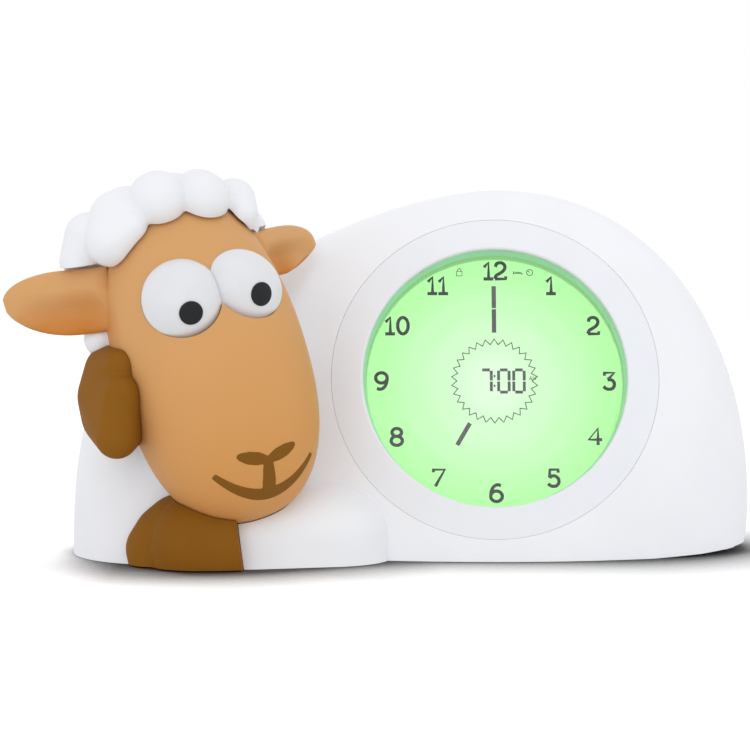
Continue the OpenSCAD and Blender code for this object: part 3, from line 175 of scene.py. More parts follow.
class LambStudio(bpy.types.PropertyGroup):
    target: FloatVectorProperty(
        name="Target", description="Point that the camera looks at", default=(-2 * MM, 22 * MM, 60.7 * MM),
        size=3, unit='LENGTH', subtype='XYZ_LENGTH',
    )
    distance: length("Distance", "Distance of the camera from its target", 1000)
    elevation: turn("Elevation", "Height of the camera above the horizon", 4)
    focal: FloatProperty(
        name="Focal length", description="Focal length of the lens", default=137.7, unit='CAMERA',
    )
    key_watts: FloatProperty(
        name="Key light", description="Power of the key light", default=1.2, unit='POWER',
    )
    fill_watts: FloatProperty(
        name="Fill light", description="Power of the fill light", default=2.4, unit='POWER',
    )
    sky: FloatProperty(name="Sky", description="Brightness of the surroundings", default=0.95)


# ---- Curves that the forms share ----


def rounded(t, n):
    """A rounded quarter outline, 1 at the middle and 0 at the rim."""
    return max(0.0, 1.0 - abs(t) ** n) ** (1.0 / n)


def signed_power(value, exponent):
    """A power of a value's size, with the value's sign."""
    return math.copysign(abs(value) ** exponent, value)


def smooth(t):
    """A soft step from 0 to 1."""
    k = min(1.0, max(0.0, t))
    return k * k * (3.0 - 2.0 * k)


def mix(a, b, k):
    """The value a share k of the way from a to b."""
    return a + (b - a) * k


# ---- Mesh helpers ----


def new_piece(name, bm):
    """An object at the origin that holds the mesh of bm, which is freed."""
    mesh = bpy.data.meshes.new(name)
    bm.to_mesh(mesh)
    bm.free()
    piece = bpy.data.objects.new(name, mesh)
    bpy.context.collection.objects.link(piece)
    return piece


def apply_modifiers(piece):
    """Makes the modified shape of a piece its own mesh."""
    depsgraph = bpy.context.evaluated_depsgraph_get()
    shaped = bpy.data.meshes.new_from_object(piece.evaluated_get(depsgraph))
    plain = piece.data
    piece.modifiers.clear()
    piece.data = shaped
    bpy.data.meshes.remove(plain)


def discard(piece):
    """Removes an object and its mesh."""
    mesh = piece.data
    bpy.data.objects.remove(piece)
    bpy.data.meshes.remove(mesh)


def carve(piece, tool, operation='DIFFERENCE'):
    """Cuts, joins or trims a piece with a tool, which is used up."""
    modifier = piece.modifiers.new("carve", 'BOOLEAN')
    modifier.operation = operation
    modifier.solver = 'EXACT'
    modifier.object = tool
    apply_modifiers(piece)
    discard(tool)


def rebuild(piece, voxel, rounds):
    """Melts overlapping lumps of a piece into one skin and smooths its creases."""
    remesh = piece.modifiers.new("melt", 'REMESH')
    remesh.mode = 'VOXEL'
    remesh.voxel_size = voxel
    soften = piece.modifiers.new("soften", 'SMOOTH')
    soften.factor = 0.5
    soften.iterations = rounds
    apply_modifiers(piece)


def thicken(piece, wall):
    """Gives an open skin its wall, inwards."""
    modifier = piece.modifiers.new("wall", 'SOLIDIFY')
    modifier.thickness = wall
    modifier.offset = -1.0
    modifier.use_even_offset = True
    apply_modifiers(piece)


def cut_plane(bm, place, normal, close=False):
    """Removes what lies on the normal's side of a plane, and may close the cut."""
    whole = bm.verts[:] + bm.edges[:] + bm.faces[:]
    cut = bmesh.ops.bisect_plane(
        bm, geom=whole, dist=1e-7, plane_co=place, plane_no=normal, clear_outer=True,
    )
    if close:
        rim = [item for item in cut["geom_cut"] if isinstance(item, bmesh.types.BMEdge)]
        bmesh.ops.edgeloop_fill(bm, edges=rim)


def trim(piece, cuts, close=True):
    """Cuts a piece's mesh by planes, each given by a place and the normal of the side that goes."""
    bm = bmesh.new()
    bm.from_mesh(piece.data)
    for place, normal in cuts:
        cut_plane(bm, place, normal, close)
    bm.to_mesh(piece.data)
    bm.free()


def only_verts(geometry):
    """The vertices among what an operator returns."""
    return [item for item in geometry if isinstance(item, bmesh.types.BMVert)]


def add_copy(bm, other):
    """Adds another bmesh to bm and frees it."""
    mesh = bpy.data.meshes.new("copy")
    other.to_mesh(mesh)
    other.free()
    bm.from_mesh(mesh)
    bpy.data.meshes.remove(mesh)


def turned(bm, outline, steps=160):
    """Adds the solid that a closed outline of (radius, height) points sweeps round Z."""
    verts = [bm.verts.new((radius, 0.0, height)) for radius, height in outline]
    edges = [bm.edges.new(pair) for pair in zip(verts, verts[1:] + verts[:1])]
    bmesh.ops.spin(
        bm, geom=verts + edges, cent=(0, 0, 0), axis=(0, 0, 1), angle=2 * math.pi, steps=steps,
        use_merge=True,
    )
    bmesh.ops.remove_doubles(bm, verts=bm.verts, dist=1e-7)
    bmesh.ops.dissolve_degenerate(bm, dist=1e-8, edges=bm.edges)
    bmesh.ops.recalc_face_normals(bm, faces=bm.faces)


def soften_edges(bm, width, segments, angle):
    """Bevels the edges that turn by more than an angle in degrees."""
    limit = math.radians(angle)
    sharp = [e for e in bm.edges if len(e.link_faces) == 2 and e.calc_face_angle() > limit]
    bmesh.ops.bevel(
        bm, geom=sharp, offset=width, offset_type='OFFSET', segments=segments, profile=0.5,
        affect='EDGES', material=-1, clamp_overlap=True,
    )


def coat(piece, paint):
    """Gives a piece one finish."""
    piece.data.materials.clear()
    piece.data.materials.append(finishes()[paint])


def finish(piece, body, slot, stands_for=(), angle=35, paint=None):
    """Shades and paints a piece, as its slot says unless told otherwise, and ties it to its body."""
    piece.data.shade_smooth()
    piece.data.set_sharp_from_angle(angle=math.radians(angle))
    coat(piece, paint or slot)
    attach(piece, body)
    if stands_for:
        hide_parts(*stands_for)


# ---- The body's form ----

# Fullness of the rounded outlines: seen from above, up each side, and of the chest
PLAN_N = 2.3
RIGHT_N = 2.15
LEFT_N = 1.65
FRONT_N = 1.7
REAR_N = 2.0
CHEST_N = 2.42
# How far the skirt draws in at the table, as a share
TUCK = 0.02
# How the crowned front round the dial fades into the dome
FADE_START = 3 * MM
FADE_WIDTH = 26 * MM
FACING_DEPTH = 12 * MM
# Level under the table to which the closed forms reach before they are cut
UNDER_TABLE = -1 * MM
# Gap between pieces that fit one another
FIT = 0.3 * MM
# How far the dial's middle lies to the left of the ridge
DIAL_SHIFT = 1 * MM


def lean_at(lean, height, z):
    """How far the body leans back at a level."""
    return lean * (max(0.0, z) / height) ** 1.5


class Dial:
    """Place and levels of the display: its own +Z leaves the glass."""

    def __init__(self):
        body = bpy.context.scene.lamb_body
        display = bpy.context.scene.lamb_display
        self.window_r = display.window_r
        self.ring_r = display.window_r + display.ring_w
        self.ring_edge = self.ring_r - display.ring_inset
        self.tilt = display.tilt
        self.x = body.ridge_x - DIAL_SHIFT
        self.z = body.height / 2
        self.crown_radius = self.ring_r ** 2 / (2 * display.crown)
        rise = (self.z - body.belly) / (body.height - body.belly)
        leaning = lean_at(body.lean, body.height, self.z)
        self.y = body.middle_y - body.front * rounded(rise, FRONT_N) + leaning
        self.lens_top = self.crown_at(self.window_r) - display.recess
        self.panel_top = self.lens_top - display.lens_t
        self.place = Matrix.Translation((self.x, self.y, self.z)) @ Matrix.Rotation(
            math.pi / 2 - self.tilt, 4, 'X')

    def crown_at(self, radius):
        """Level of the crowned ring at a radius."""
        return -radius * radius / (2 * self.crown_radius)


class BodyForm:
    """The round body as a surface over the directions from its middle."""

    def __init__(self, inset=0.0):
        body = bpy.context.scene.lamb_body
        self.dial = Dial()
        self.inset = inset
        self.ridge_x, self.middle_y = body.ridge_x, body.middle_y
        self.height, self.belly = body.height - body.ridge_ease, body.belly
        self.right, self.left = body.right - inset, body.left - inset
        self.front, self.rear = body.front - inset, body.rear - inset
        self.lean = body.lean
        self.sin_tilt, self.cos_tilt = math.sin(self.dial.tilt), math.cos(self.dial.tilt)

    def leaning(self, y, z):
        """Depth of a point once the body leans."""
        return y + lean_at(self.lean, self.height, z)

    def plan(self, t):
        """Outline of the widest level at an angle."""
        c, s = math.cos(t), math.sin(t)
        return (
            (self.right if c > 0 else self.left) * signed_power(c, 2 / PLAN_N),
            (self.rear if s > 0 else self.front) * signed_power(s, 2 / PLAN_N),
        )

    def crown_depth(self, x, z):
        """Depth of the crowned front beside the dial."""
        w = 0.0
        for _ in range(4):
            y = (z * self.sin_tilt - w) / self.cos_tilt
            v = y * self.sin_tilt + z * self.cos_tilt
            w = self.dial.crown_at(math.hypot(x, v))
        return (z * self.sin_tilt - w) / self.cos_tilt

    def settle(self, x, y, z):
        """Pulls a point of the front onto the crowned dial, fading out beyond the ring."""
        dx, dy, dz = x - self.dial.x, y - self.dial.y, z - self.dial.z
        v = dy * self.sin_tilt + dz * self.cos_tilt
        w = -dy * self.cos_tilt + dz * self.sin_tilt
        near = 1 - smooth((math.hypot(dx, v) - self.dial.ring_r - FADE_START) / FADE_WIDTH)
        facing = 1 - smooth((-w - self.inset - FACING_DEPTH) / FACING_DEPTH)
        if near * facing > 0:
            flat = self.dial.y + self.crown_depth(dx, dz) + self.inset / self.cos_tilt
            y = mix(y, flat, near * facing)
        return Vector((x, y, z))

    def upper(self, t, phi):
        """Point above the belly, at an angle round the body and an angle up."""
        c, s = math.cos(t), math.sin(t)
        n = mix(REAR_N if s > 0 else FRONT_N, RIGHT_N if c > 0 else LEFT_N, c * c)
        z = self.belly + (self.height - self.belly - self.inset) * max(0.0, math.sin(phi)) ** (2 / n)
        k = max(0.0, math.cos(phi)) ** (2 / n)
        px, py = self.plan(t)
        return self.settle(self.ridge_x + px * k, self.leaning(self.middle_y + py * k, z), z)

    def skirt(self, t, z, k):
        """Point below the belly, drawn in to a share k of the outline."""
        draw_in = (1 - TUCK * ((self.belly - z) / self.belly) ** 2) * k
        px, py = self.plan(t)
        return self.settle(self.ridge_x + px * draw_in, self.leaning(self.middle_y + py * draw_in, z), z)

    def place(self, direction, skirt_share=0.1):
        """Where a point of the unit sphere goes."""
        t = math.atan2(direction.y, direction.x)
        phi = math.asin(max(-1.0, min(1.0, direction.z)))
        if phi >= 0:
            return self.upper(t, phi)
        down = -phi / (math.pi / 2)
        if down < skirt_share:
            return self.skirt(t, mix(self.belly, UNDER_TABLE, down / skirt_share), 1.0)
        return self.skirt(t, UNDER_TABLE, (1 - down) / (1 - skirt_share))


def sphere_form(place, around, up):
    """A bmesh of a sphere whose points are moved by a function of their direction."""
    bm = bmesh.new()
    bmesh.ops.create_uvsphere(bm, u_segments=around, v_segments=up, radius=1.0)
    for vert in bm.verts:
        vert.co = place(vert.co.normalized())
    return bm


def dome(inset=0.0, around=240, up=120):
    """The body without chest and forearm."""
    return sphere_form(BodyForm(inset).place, around, up)


CHEST_ROWS = 40


def chest(inset=0.0):
    """The round chest under the head."""
    body = bpy.context.scene.lamb_body
    radius, top = body.chest_r - inset, body.chest_height - inset
    side = [math.pi / 2 * row / CHEST_ROWS for row in range(CHEST_ROWS)]
    levels = [mix(UNDER_TABLE, top, math.sin(a)) for a in side]
    outline = [(0.0, UNDER_TABLE)] + [(radius * rounded(z / top, CHEST_N), z) for z in levels] + [(0.0, top)]
    bm = bmesh.new()
    turned(bm, outline, 120)
    bmesh.ops.translate(bm, vec=(body.chest_x, body.middle_y - body.chest_out, 0.0), verts=bm.verts)
    return bm


# Slope of the cuff's flat end
CUFF_SLANT = 0.13
# How much of the forearm's height is straight, and how much of its underside is its wall
ARM_STRAIGHT = 0.35
ARM_WALL = 0.2


def forearm():
    """The forearm as a loaf between the elbow and the wrist, cut square at the cuff."""
    body = bpy.context.scene.lamb_body
    elbow = Vector((body.elbow[0], body.middle_y - body.elbow[1], 0.0))
    wrist = Vector((body.wrist[0], body.middle_y - body.wrist[1], 0.0))
    along = (elbow - wrist).normalized()
    straight = body.arm_height * ARM_STRAIGHT

    def place(direction):
        end = elbow if direction.xy.dot(along.xy) > 0 else wrist
        if direction.z >= 0:
            z = mix(straight, body.arm_height, direction.z)
            flat = direction.xy * body.arm_r
        else:
            down = math.asin(min(1.0, -direction.z)) / (math.pi / 2)
            z = mix(straight, UNDER_TABLE, min(1.0, down / ARM_WALL))
            reach = body.arm_r * min(1.0, (1 - down) / (1 - ARM_WALL))
            flat = direction.xy.normalized() * reach if down < 1 else Vector((0, 0))
        return Vector((end.x + flat[0], end.y + flat[1], z))

    bm = sphere_form(place, 120, 60)
    cut_plane(bm, (body.cuff_x, 0, body.arm_height / 2), (-1, 0, -CUFF_SLANT), close=True)
    return bm


# ---- The head's form ----

# Fullness of the head's outlines: down to the chin, up to the crown and seen from above
HEAD_N = 2.4
CROWN_N = 2.75
HEAD_PLAN_N = 2.2
# How much narrower the brow is, as a share, and how far it lies back
BROW_NARROWING = 0.07
BROW_SETBACK = 9 * MM


class HeadForm:
    """The head as a surface in its own frame: +Z to the crown and -Y out of the face."""

    def __init__(self):
        body = bpy.context.scene.lamb_body
        head = bpy.context.scene.lamb_head
        self.half, self.muzzle, self.nape = head.half, head.muzzle, head.nape
        self.crown, self.chin = head.crown, head.chin
        self.placing = (
            Matrix.Translation((head.across, body.middle_y - head.out, head.height))
            @ Matrix.Rotation(-head.lean, 4, 'Y') @ Matrix.Rotation(head.turn, 4, 'Z')
        )

    def taper(self, z):
        """Share of the full width and depth at a level."""
        return rounded(z / self.crown, CROWN_N) if z > 0 else rounded(z / self.chin, HEAD_N)

    def width(self, z):
        """Half the head's width at a level."""
        return self.half * (1 - BROW_NARROWING * smooth(z / self.crown)) * self.taper(z)

    def face_y(self, x, z):
        """Depth of the face's surface over a place."""
        depth = (self.muzzle - BROW_SETBACK * smooth(z / self.crown)) * self.taper(z)
        return -depth * rounded(x / self.width(z), HEAD_PLAN_N)

    def place(self, direction, inset):
        """Where a point of the unit sphere goes."""
        t = math.atan2(direction.y, direction.x)
        up, flat = direction.z, math.hypot(direction.x, direction.y)
        reach, n = (self.crown, CROWN_N) if up > 0 else (self.chin, HEAD_N)
        z = (reach - inset) * signed_power(up, 2 / n)
        k = flat ** (2 / n)
        brow = smooth(z / self.crown)
        half = self.half * (1 - BROW_NARROWING * brow) - inset
        depth = (self.nape if t > 0 else self.muzzle - BROW_SETBACK * brow) - inset
        x, y = (signed_power(share, 2 / HEAD_PLAN_N) for share in (math.cos(t), math.sin(t)))
        return Vector((half * k * x, depth * k * y, z))


def head_solid(inset=0.0, around=128, up=96, placed=True):
    """The whole head as a closed form, in its place or in its own frame."""
    form = HeadForm()
    bm = sphere_form(lambda direction: form.place(direction, inset), around, up)
    if placed:
        bmesh.ops.transform(bm, matrix=form.placing, verts=bm.verts)
    return bm


def peg(name, matrix, radius, low, high, steps=96):
    """A round tool along Z of a placing, used to cut a hole."""
    bm = bmesh.new()
    bmesh.ops.create_cone(
        bm, cap_ends=True, segments=steps, radius1=radius, radius2=radius, depth=high - low,
        matrix=matrix @ Matrix.Translation((0, 0, (high + low) / 2)),
    )
    return new_piece(name, bm)


# Each eye: distance from the middle, height, share of the eye's radius, and splay in degrees
EYES = {-1: (11.4 * MM, 25.9 * MM, 1.0, 14), 1: (10.7 * MM, 24.4 * MM, 0.92, 4)}
# The eyes' upward turn, how deep they sink in, how far each reaches behind its outline, and their seam
EYE_LIFT = math.radians(8)
EYE_SINK = 1.5 * MM
EYE_STUB = 5 * MM
EYE_SEAM = 0.25 * MM
# Where each pupil looks, in degrees to the right and up
GAZE = {-1: (4, -24), 1: (8, -20)}
# Each eye's outline: its share of the radius towards the lower right, and across that
EYE_STRETCH = {-1: (1.0, 1.0), 1: (1.09, 0.96)}
STRETCH_TURN = math.radians(-47)


def eye_sizes(side):
    """Radius of an eye's outline, and how far the outline lies before the middle of its dome."""
    head = bpy.context.scene.lamb_head
    edge = head.eye_r * EYES[side][2]
    return edge, math.sqrt(head.eye_dome ** 2 - edge ** 2)


def eye_placing(side):
    """Middle of an eye's dome, with +Z along the way the eye faces."""
    form = HeadForm()
    x, z, _, splay = EYES[side]
    return (
        form.placing @ Matrix.Translation((side * x, form.face_y(x, z) + EYE_SINK, z))
        @ Matrix.Rotation(math.radians(side * splay), 4, 'Z')
        @ Matrix.Rotation(math.pi / 2 - EYE_LIFT, 4, 'X')
        @ Matrix.Translation((0, 0, -eye_sizes(side)[1]))
    )


def eye_stretch(side):
    """Draws an eye's outline out along a slant."""
    along, across = EYE_STRETCH[side]
    slant = Matrix.Rotation(STRETCH_TURN, 4, 'Z')
    return slant @ Matrix.Diagonal((along, across, 1.0, 1.0)) @ slant.inverted()


# ---- Materials ----

# Every finish that has been made, by name
PAINTS = {}


class NodePaint:
    """A node material in the making: its nodes, its links and its shader."""

    def __init__(self, name):
        self.material = bpy.data.materials.new(name)
        self.material.use_nodes = True
        PAINTS[name] = self.material
        self.nodes, self.links = self.material.node_tree.nodes, self.material.node_tree.links
        self.shader = self.nodes["Principled BSDF"]
        self.place = self.add('ShaderNodeTexCoord').outputs['Object']

    def add(self, kind, **values):
        """A new node with some of its values set."""
        node = self.nodes.new(kind)
        for key, value in values.items():
            setattr(node, key, value)
        return node

    def give(self, **values):
        """Sets or links sockets of the shader, named with underscores for spaces."""
        for key, value in values.items():
            socket = self.shader.inputs[key.replace("_", " ")]
            if isinstance(value, bpy.types.NodeSocket):
                self.links.new(value, socket)
            else:
                socket.default_value = value

    def noise(self, size, detail=2.0):
        """Noise whose features are about a size across."""
        node = self.add('ShaderNodeTexNoise')
        node.inputs['Scale'].default_value = 1.0 / size
        node.inputs['Detail'].default_value = detail
        self.links.new(self.place, node.inputs['Vector'])
        return node.outputs['Fac']

    def spread(self, value, low, high, start=0.3, end=0.7):
        """Stretches a texture's middle range, or another, onto low to high."""
        node = self.add('ShaderNodeMapRange')
        for name, limit in (('From Min', start), ('From Max', end), ('To Min', low), ('To Max', high)):
            node.inputs[name].default_value = limit
        self.links.new(value, node.inputs['Value'])
        return node.outputs['Result']

    def blend(self, factor, first, second):
        """A colour between two, by a factor."""
        node = self.add('ShaderNodeMix', data_type='RGBA')
        self.links.new(factor, node.inputs[0])
        for socket, colour in ((node.inputs[6], first), (node.inputs[7], second)):
            if isinstance(colour, bpy.types.NodeSocket):
                self.links.new(colour, socket)
            else:
                socket.default_value = (*colour, 1.0)
        return node.outputs[2]

    def reckon(self, operation, first, second):
        """The sum, product or the like of two values."""
        node = self.add('ShaderNodeMath', operation=operation)
        self.links.new(first, node.inputs[0])
        self.links.new(second, node.inputs[1])
        return node.outputs[0]

    def measure(self, operation, vector):
        """Distance of the object's points from a place, or their share along an axis."""
        node = self.add('ShaderNodeVectorMath', operation=operation)
        node.inputs[1].default_value = vector
        self.links.new(self.place, node.inputs[0])
        return node.outputs['Value']


def shaded(colour, factor):
    """A colour made darker or lighter by a factor."""
    return tuple(min(1.0, channel * factor) for channel in colour)


def moulded(
        name, colour, roughness, mottle=0.015, grain=0.3 * MM, depth=0.006 * MM, patch=22 * MM, gloss=0.5):
    """Moulded plastic: a faint flow mottle, uneven gloss and the fine grain of the mould."""
    paint = NodePaint(name)
    flow = paint.spread(paint.noise(patch, 3.0), 0, 1)
    wear = paint.spread(paint.noise(patch / 4, 4.0), roughness - 0.04, roughness + 0.05)
    bump = paint.add('ShaderNodeBump')
    bump.inputs['Strength'].default_value = 0.5
    bump.inputs['Distance'].default_value = depth
    paint.links.new(paint.noise(grain, 1.0), bump.inputs['Height'])
    paint.give(
        Base_Color=paint.blend(flow, shaded(colour, 1 - mottle), shaded(colour, 1 + mottle)),
        Roughness=wear, Normal=bump.outputs['Normal'], IOR=1.5, Specular_IOR_Level=gloss,
    )
    return paint


def metal(name, colour, roughness, grain=0.4 * MM):
    """Plain steel with a fine uneven polish."""
    paint = moulded(name, colour, roughness, mottle=0.06, grain=grain, depth=0.01 * MM, patch=3 * MM)
    paint.give(Metallic=1.0)


# The lit panel's colours between its middle and its rim: where each lies, and the rim's share in it
GLOW_STOPS = ((0.1, 0.0), (0.40, 0.37), (0.65, 0.66), (0.80, 0.88), (0.93, 1.0), (0.985, 1.0))
# How dark the panel's outermost band is: painted shade of the ring's lip over the panel's edge
RIM_PAINTED_SHADE = 0.55


def glowing_panel(name, middle, rim, centre, radius):
    """The lit panel: brightest at its middle, greener outwards, and with painted shade along its edge."""
    paint = NodePaint(name)
    ramp = paint.add('ShaderNodeValToRGB')
    ramp.color_ramp.interpolation = 'EASE'
    stops = ramp.color_ramp.elements
    stops[1].position, stops[1].color = 1.0, (*shaded(rim, RIM_PAINTED_SHADE), 1.0)
    for index, (position, share) in enumerate(GLOW_STOPS):
        stop = stops[0] if index == 0 else stops.new(position)
        stop.position = position
        stop.color = (*(mix(a, b, share) for a, b in zip(middle, rim)), 1.0)
    away = paint.spread(paint.measure('DISTANCE', centre), 0, 1, 0, radius)
    paint.links.new(away, ramp.inputs['Fac'])
    paint.give(
        Emission_Color=ramp.outputs['Color'], Emission_Strength=1.0, Base_Color=(0.03, 0.06, 0.03, 1.0),
        Roughness=paint.spread(paint.noise(2 * MM), 0.35, 0.45),
    )


def clear_lens(name):
    """Clear acrylic, faintly uneven in its polish."""
    paint = NodePaint(name)
    paint.give(
        Base_Color=(0.97, 1.0, 0.98, 1.0), Transmission_Weight=1.0, IOR=1.3,
        Roughness=paint.spread(paint.noise(12 * MM), 0.0, 0.02),
    )


# Share of a painted shade's reach within which it is full
SHADE_CORE = 0.2


def deepened(paint, places):
    """Paints shade into a finish around places, each its middle, its reach and its colour."""
    tint = paint.shader.inputs['Base Color'].links[0].from_socket
    for middle, reach, colour in places:
        near = paint.spread(paint.measure('DISTANCE', middle), 1, 0, reach * SHADE_CORE, reach)
        tint = paint.blend(near, tint, colour)
    paint.give(Base_Color=tint)


def board_finish(name):
    """Solder mask with a weave of paler tracks."""
    paint = NodePaint(name)
    tracks = paint.add('ShaderNodeTexVoronoi', distance='MANHATTAN', feature='DISTANCE_TO_EDGE')
    tracks.inputs['Scale'].default_value = 1 / (3.5 * MM)
    paint.links.new(paint.place, tracks.inputs['Vector'])
    line = paint.spread(tracks.outputs['Distance'], 1, 0, 0.03, 0.06)
    paint.give(
        Base_Color=paint.blend(line, (0.015, 0.13, 0.055), (0.05, 0.24, 0.11)),
        Roughness=paint.spread(paint.noise(4 * MM), 0.3, 0.4),
    )


def banded(name, first, second, axis, start, pitch, roughness):
    """A sleeve in two tones that change at one place along an axis."""
    paint = NodePaint(name)
    step = paint.spread(paint.measure('DOT_PRODUCT', axis), 0, 1, start, start + pitch)
    paint.give(
        Base_Color=paint.blend(step, first, second),
        Roughness=paint.spread(paint.noise(3 * MM), roughness - 0.04, roughness + 0.04),
    )


# Where painted shade deepens the skin's colour, in the ears' hollows and towards the chin, in millimetres in
# the head's own frame: a middle and a reach
EAR_SHADES = (((-38, 6, 21), 18), ((-50, 14, 23), 15), ((37, 7, 22), 14))
CHIN_SHADE = ((-4, -20, -46), 74)
CELL_BAND = 12 * MM
# How far the light's middle lies below the dial's, and how far its rim stays inside the window, which puts
# the painted shade along its edge mostly at the top, under the ring's lip
GLOW_DROP = 0.8 * MM
GLOW_INSET = 0.8 * MM


def finishes():
    """Every finish of the clock by name, made once."""
    if "shell" in PAINTS:
        return PAINTS
    colours = bpy.context.scene.lamb_finishes
    dial = Dial()
    moulded("shell", colours.shell, 0.34)
    moulded("ring", colours.ring, 0.34)
    # The recess wall is painted green: painted light of the display's glow on a white wall
    moulded("bezel", (0.43, 0.92, 0.54), 0.4)
    moulded("wool", colours.wool, 0.5, grain=0.5 * MM, depth=0.012 * MM)
    # Painted shade on the skin: deeper tan in the ears' hollows and towards the chin
    shades = [(*shade, tuple(colours.ear_hollow)) for shade in EAR_SHADES]
    shades.append((*CHIN_SHADE, tuple(colours.chin)))
    placing = HeadForm().placing
    deepened(moulded("skin", colours.skin, 0.5, gloss=0.2), [
        (placing @ (Vector(middle) * MM), reach * MM, colour) for middle, reach, colour in shades
    ])
    moulded("hoof", colours.hoof, 0.55, mottle=0.05, gloss=0.04)
    moulded("mark", colours.mark, 0.55, mottle=0.03, gloss=0.05)
    moulded("eye_white", colours.eye, 0.16, mottle=0.008, depth=0.002 * MM)
    moulded("pupil", colours.pupil, 0.25, depth=0.002 * MM, gloss=0.25)
    moulded("ink", colours.ink, 0.45)
    moulded("segment", (0.15, 0.14, 0.155), 0.45)
    moulded("rubber", (0.035, 0.035, 0.037), 0.7, mottle=0.12, grain=0.4 * MM, depth=0.03 * MM)
    moulded("inner_plastic", (0.72, 0.72, 0.7), 0.5, mottle=0.03)
    moulded("dark_plastic", (0.03, 0.03, 0.034), 0.45, mottle=0.08)
    moulded("diffuser", (0.8, 0.88, 0.8), 0.6)
    moulded("reflector", (0.85, 0.86, 0.85), 0.3)
    moulded("cone", (0.03, 0.03, 0.03), 0.9, mottle=0.25, grain=0.6 * MM, depth=0.06 * MM)
    moulded("magnet", (0.08, 0.08, 0.083), 0.7, mottle=0.2, grain=0.3 * MM, depth=0.05 * MM)
    moulded("lead_red", (0.45, 0.02, 0.02), 0.5)
    moulded("lead_black", (0.02, 0.02, 0.021), 0.5)
    metal("steel", (0.56, 0.56, 0.57), 0.28)
    moulded("led", (0.8, 1.0, 0.8), 0.3).give(Emission_Color=(0.6, 1.0, 0.6, 1.0), Emission_Strength=1.0)
    board_finish("board")
    cells_low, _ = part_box("battery_cells")
    banded("cell", (0.55, 0.36, 0.12), (0.04, 0.1, 0.06), (1, 0, 0), cells_low[0] + CELL_BAND, 0.3 * MM, 0.3)
    centre, reach = dial.place @ Vector((0, -GLOW_DROP, dial.panel_top)), dial.window_r - GLOW_INSET
    glowing_panel("lcd", tuple(colours.glow_middle), tuple(colours.glow_rim), centre, reach)
    clear_lens("lens")
    return PAINTS


# ---- Body pieces ----


def body_skin():
    """Dome, chest and forearm as one closed form."""
    skin = new_piece("body_skin", dome())
    carve(skin, new_piece("chest_tool", chest()), 'UNION')
    arm = new_piece("arm_tool", forearm())
    carve(arm, new_piece("head_tool", head_solid(-FIT)))
    carve(skin, arm, 'UNION')
    return skin


# The lower edge's rise at the right end: where each slope starts in millimetres, and how steep it is
HEEL_LIFTS = ((93, 0.05), (101.5, 0.1), (108, 0.16), (121.5, 0.5))


def half_shell(skin, name, plane_y, normal_y):
    """One half of the body's skin, open at the parting and below, with its wall."""
    body = bpy.context.scene.lamb_body
    bm = bmesh.new()
    bm.from_mesh(skin.data)
    piece = new_piece(name, bm)
    heel = [((x * MM, 0, body.lower_edge), (slope, 0, -1)) for x, slope in HEEL_LIFTS]
    cuts = [((0, plane_y, 0), (0, normal_y, 0)), ((0, 0, body.lower_edge), (0, 0, -1)), *heel]
    trim(piece, cuts, close=False)
    thicken(piece, body.wall)
    return piece


# How far the bore's tool reaches behind and before the dial
BORE_REACH = (-24 * MM, 36 * MM)


class LAMB_OT_shells(bpy.types.Operator):
    """Front and rear shells of the body"""

    bl_idname = "lamb.shells"
    bl_label = "Body Shells"

    def execute(self, context):
        body = bpy.context.scene.lamb_body
        display = bpy.context.scene.lamb_display
        dial = Dial()
        skin = body_skin()
        split_y = body.middle_y + body.split
        front = half_shell(skin, "body_front", split_y, 1)
        carve(front, peg("bore", dial.place, dial.ring_edge + display.ring_gap, *BORE_REACH, 320))
        finish(front, "case", "shell", ["front_shell"])
        rear = half_shell(skin, "body_rear", split_y, -1)
        carve(rear, rear_tools())
        finish(rear, "case", "shell", ["rear_shell"])
        tray = battery_tray()
        carve(tray, new_piece("dome_tool", dome(body.wall, 120, 60)), 'INTERSECT')
        finish(tray, "case", "shell")
        discard(skin)
        return {'FINISHED'}


def rear_surface(x, z):
    """Depth of the rear wall over a place, close to the true form."""
    form = BodyForm()
    k = rounded((max(z, form.belly) - form.belly) / (form.height - form.belly), REAR_N)
    half = (form.right if x > form.ridge_x else form.left) * k
    return form.leaning(form.middle_y + form.rear * k * rounded((x - form.ridge_x) / half, PLAN_N), z)


def add_bar(bm, low, high, matrix=Matrix()):
    """Adds a block between two corners, in a placing."""
    size = Vector(high) - Vector(low)
    middle = (Vector(high) + Vector(low)) / 2
    scaled = Matrix.Translation(middle) @ Matrix.Diagonal((*size, 1.0))
    bmesh.ops.create_cube(bm, size=1.0, matrix=matrix @ scaled)


def add_slot(bm, middle, half, radius, length_y):
    """Adds a tool along Y with the section of a slot, whose round ends lie half away from its middle."""
    slot = bmesh.new()
    bmesh.ops.create_circle(slot, cap_ends=True, segments=32, radius=radius)
    for vert in slot.verts:
        vert.co.x += math.copysign(half, vert.co.x)
    lifted = bmesh.ops.extrude_face_region(slot, geom=slot.faces[:])
    bmesh.ops.translate(slot, vec=(0, 0, length_y), verts=only_verts(lifted["geom"]))
    bmesh.ops.recalc_face_normals(slot, faces=slot.faces)
    place = Matrix.Translation(middle) @ Matrix.Rotation(math.pi / 2, 4, 'X')
    bmesh.ops.transform(slot, matrix=place, verts=slot.verts)
    add_copy(bm, slot)


# How far the rear tools reach behind the middle plane
REAR_REACH = 60 * MM
# Speaker slots: their middle beside the ridge and above the table, and the circle that holds them
SPEAKER_SHIFT = 2 * MM
SPEAKER_Z = 80 * MM
SLOT_CIRCLE_R = 14.5 * MM
SLOT_PITCH = 4 * MM
SLOT_R = 0.9 * MM
SLOT_COUNT = 7
SLOT_DEPTH = 46 * MM
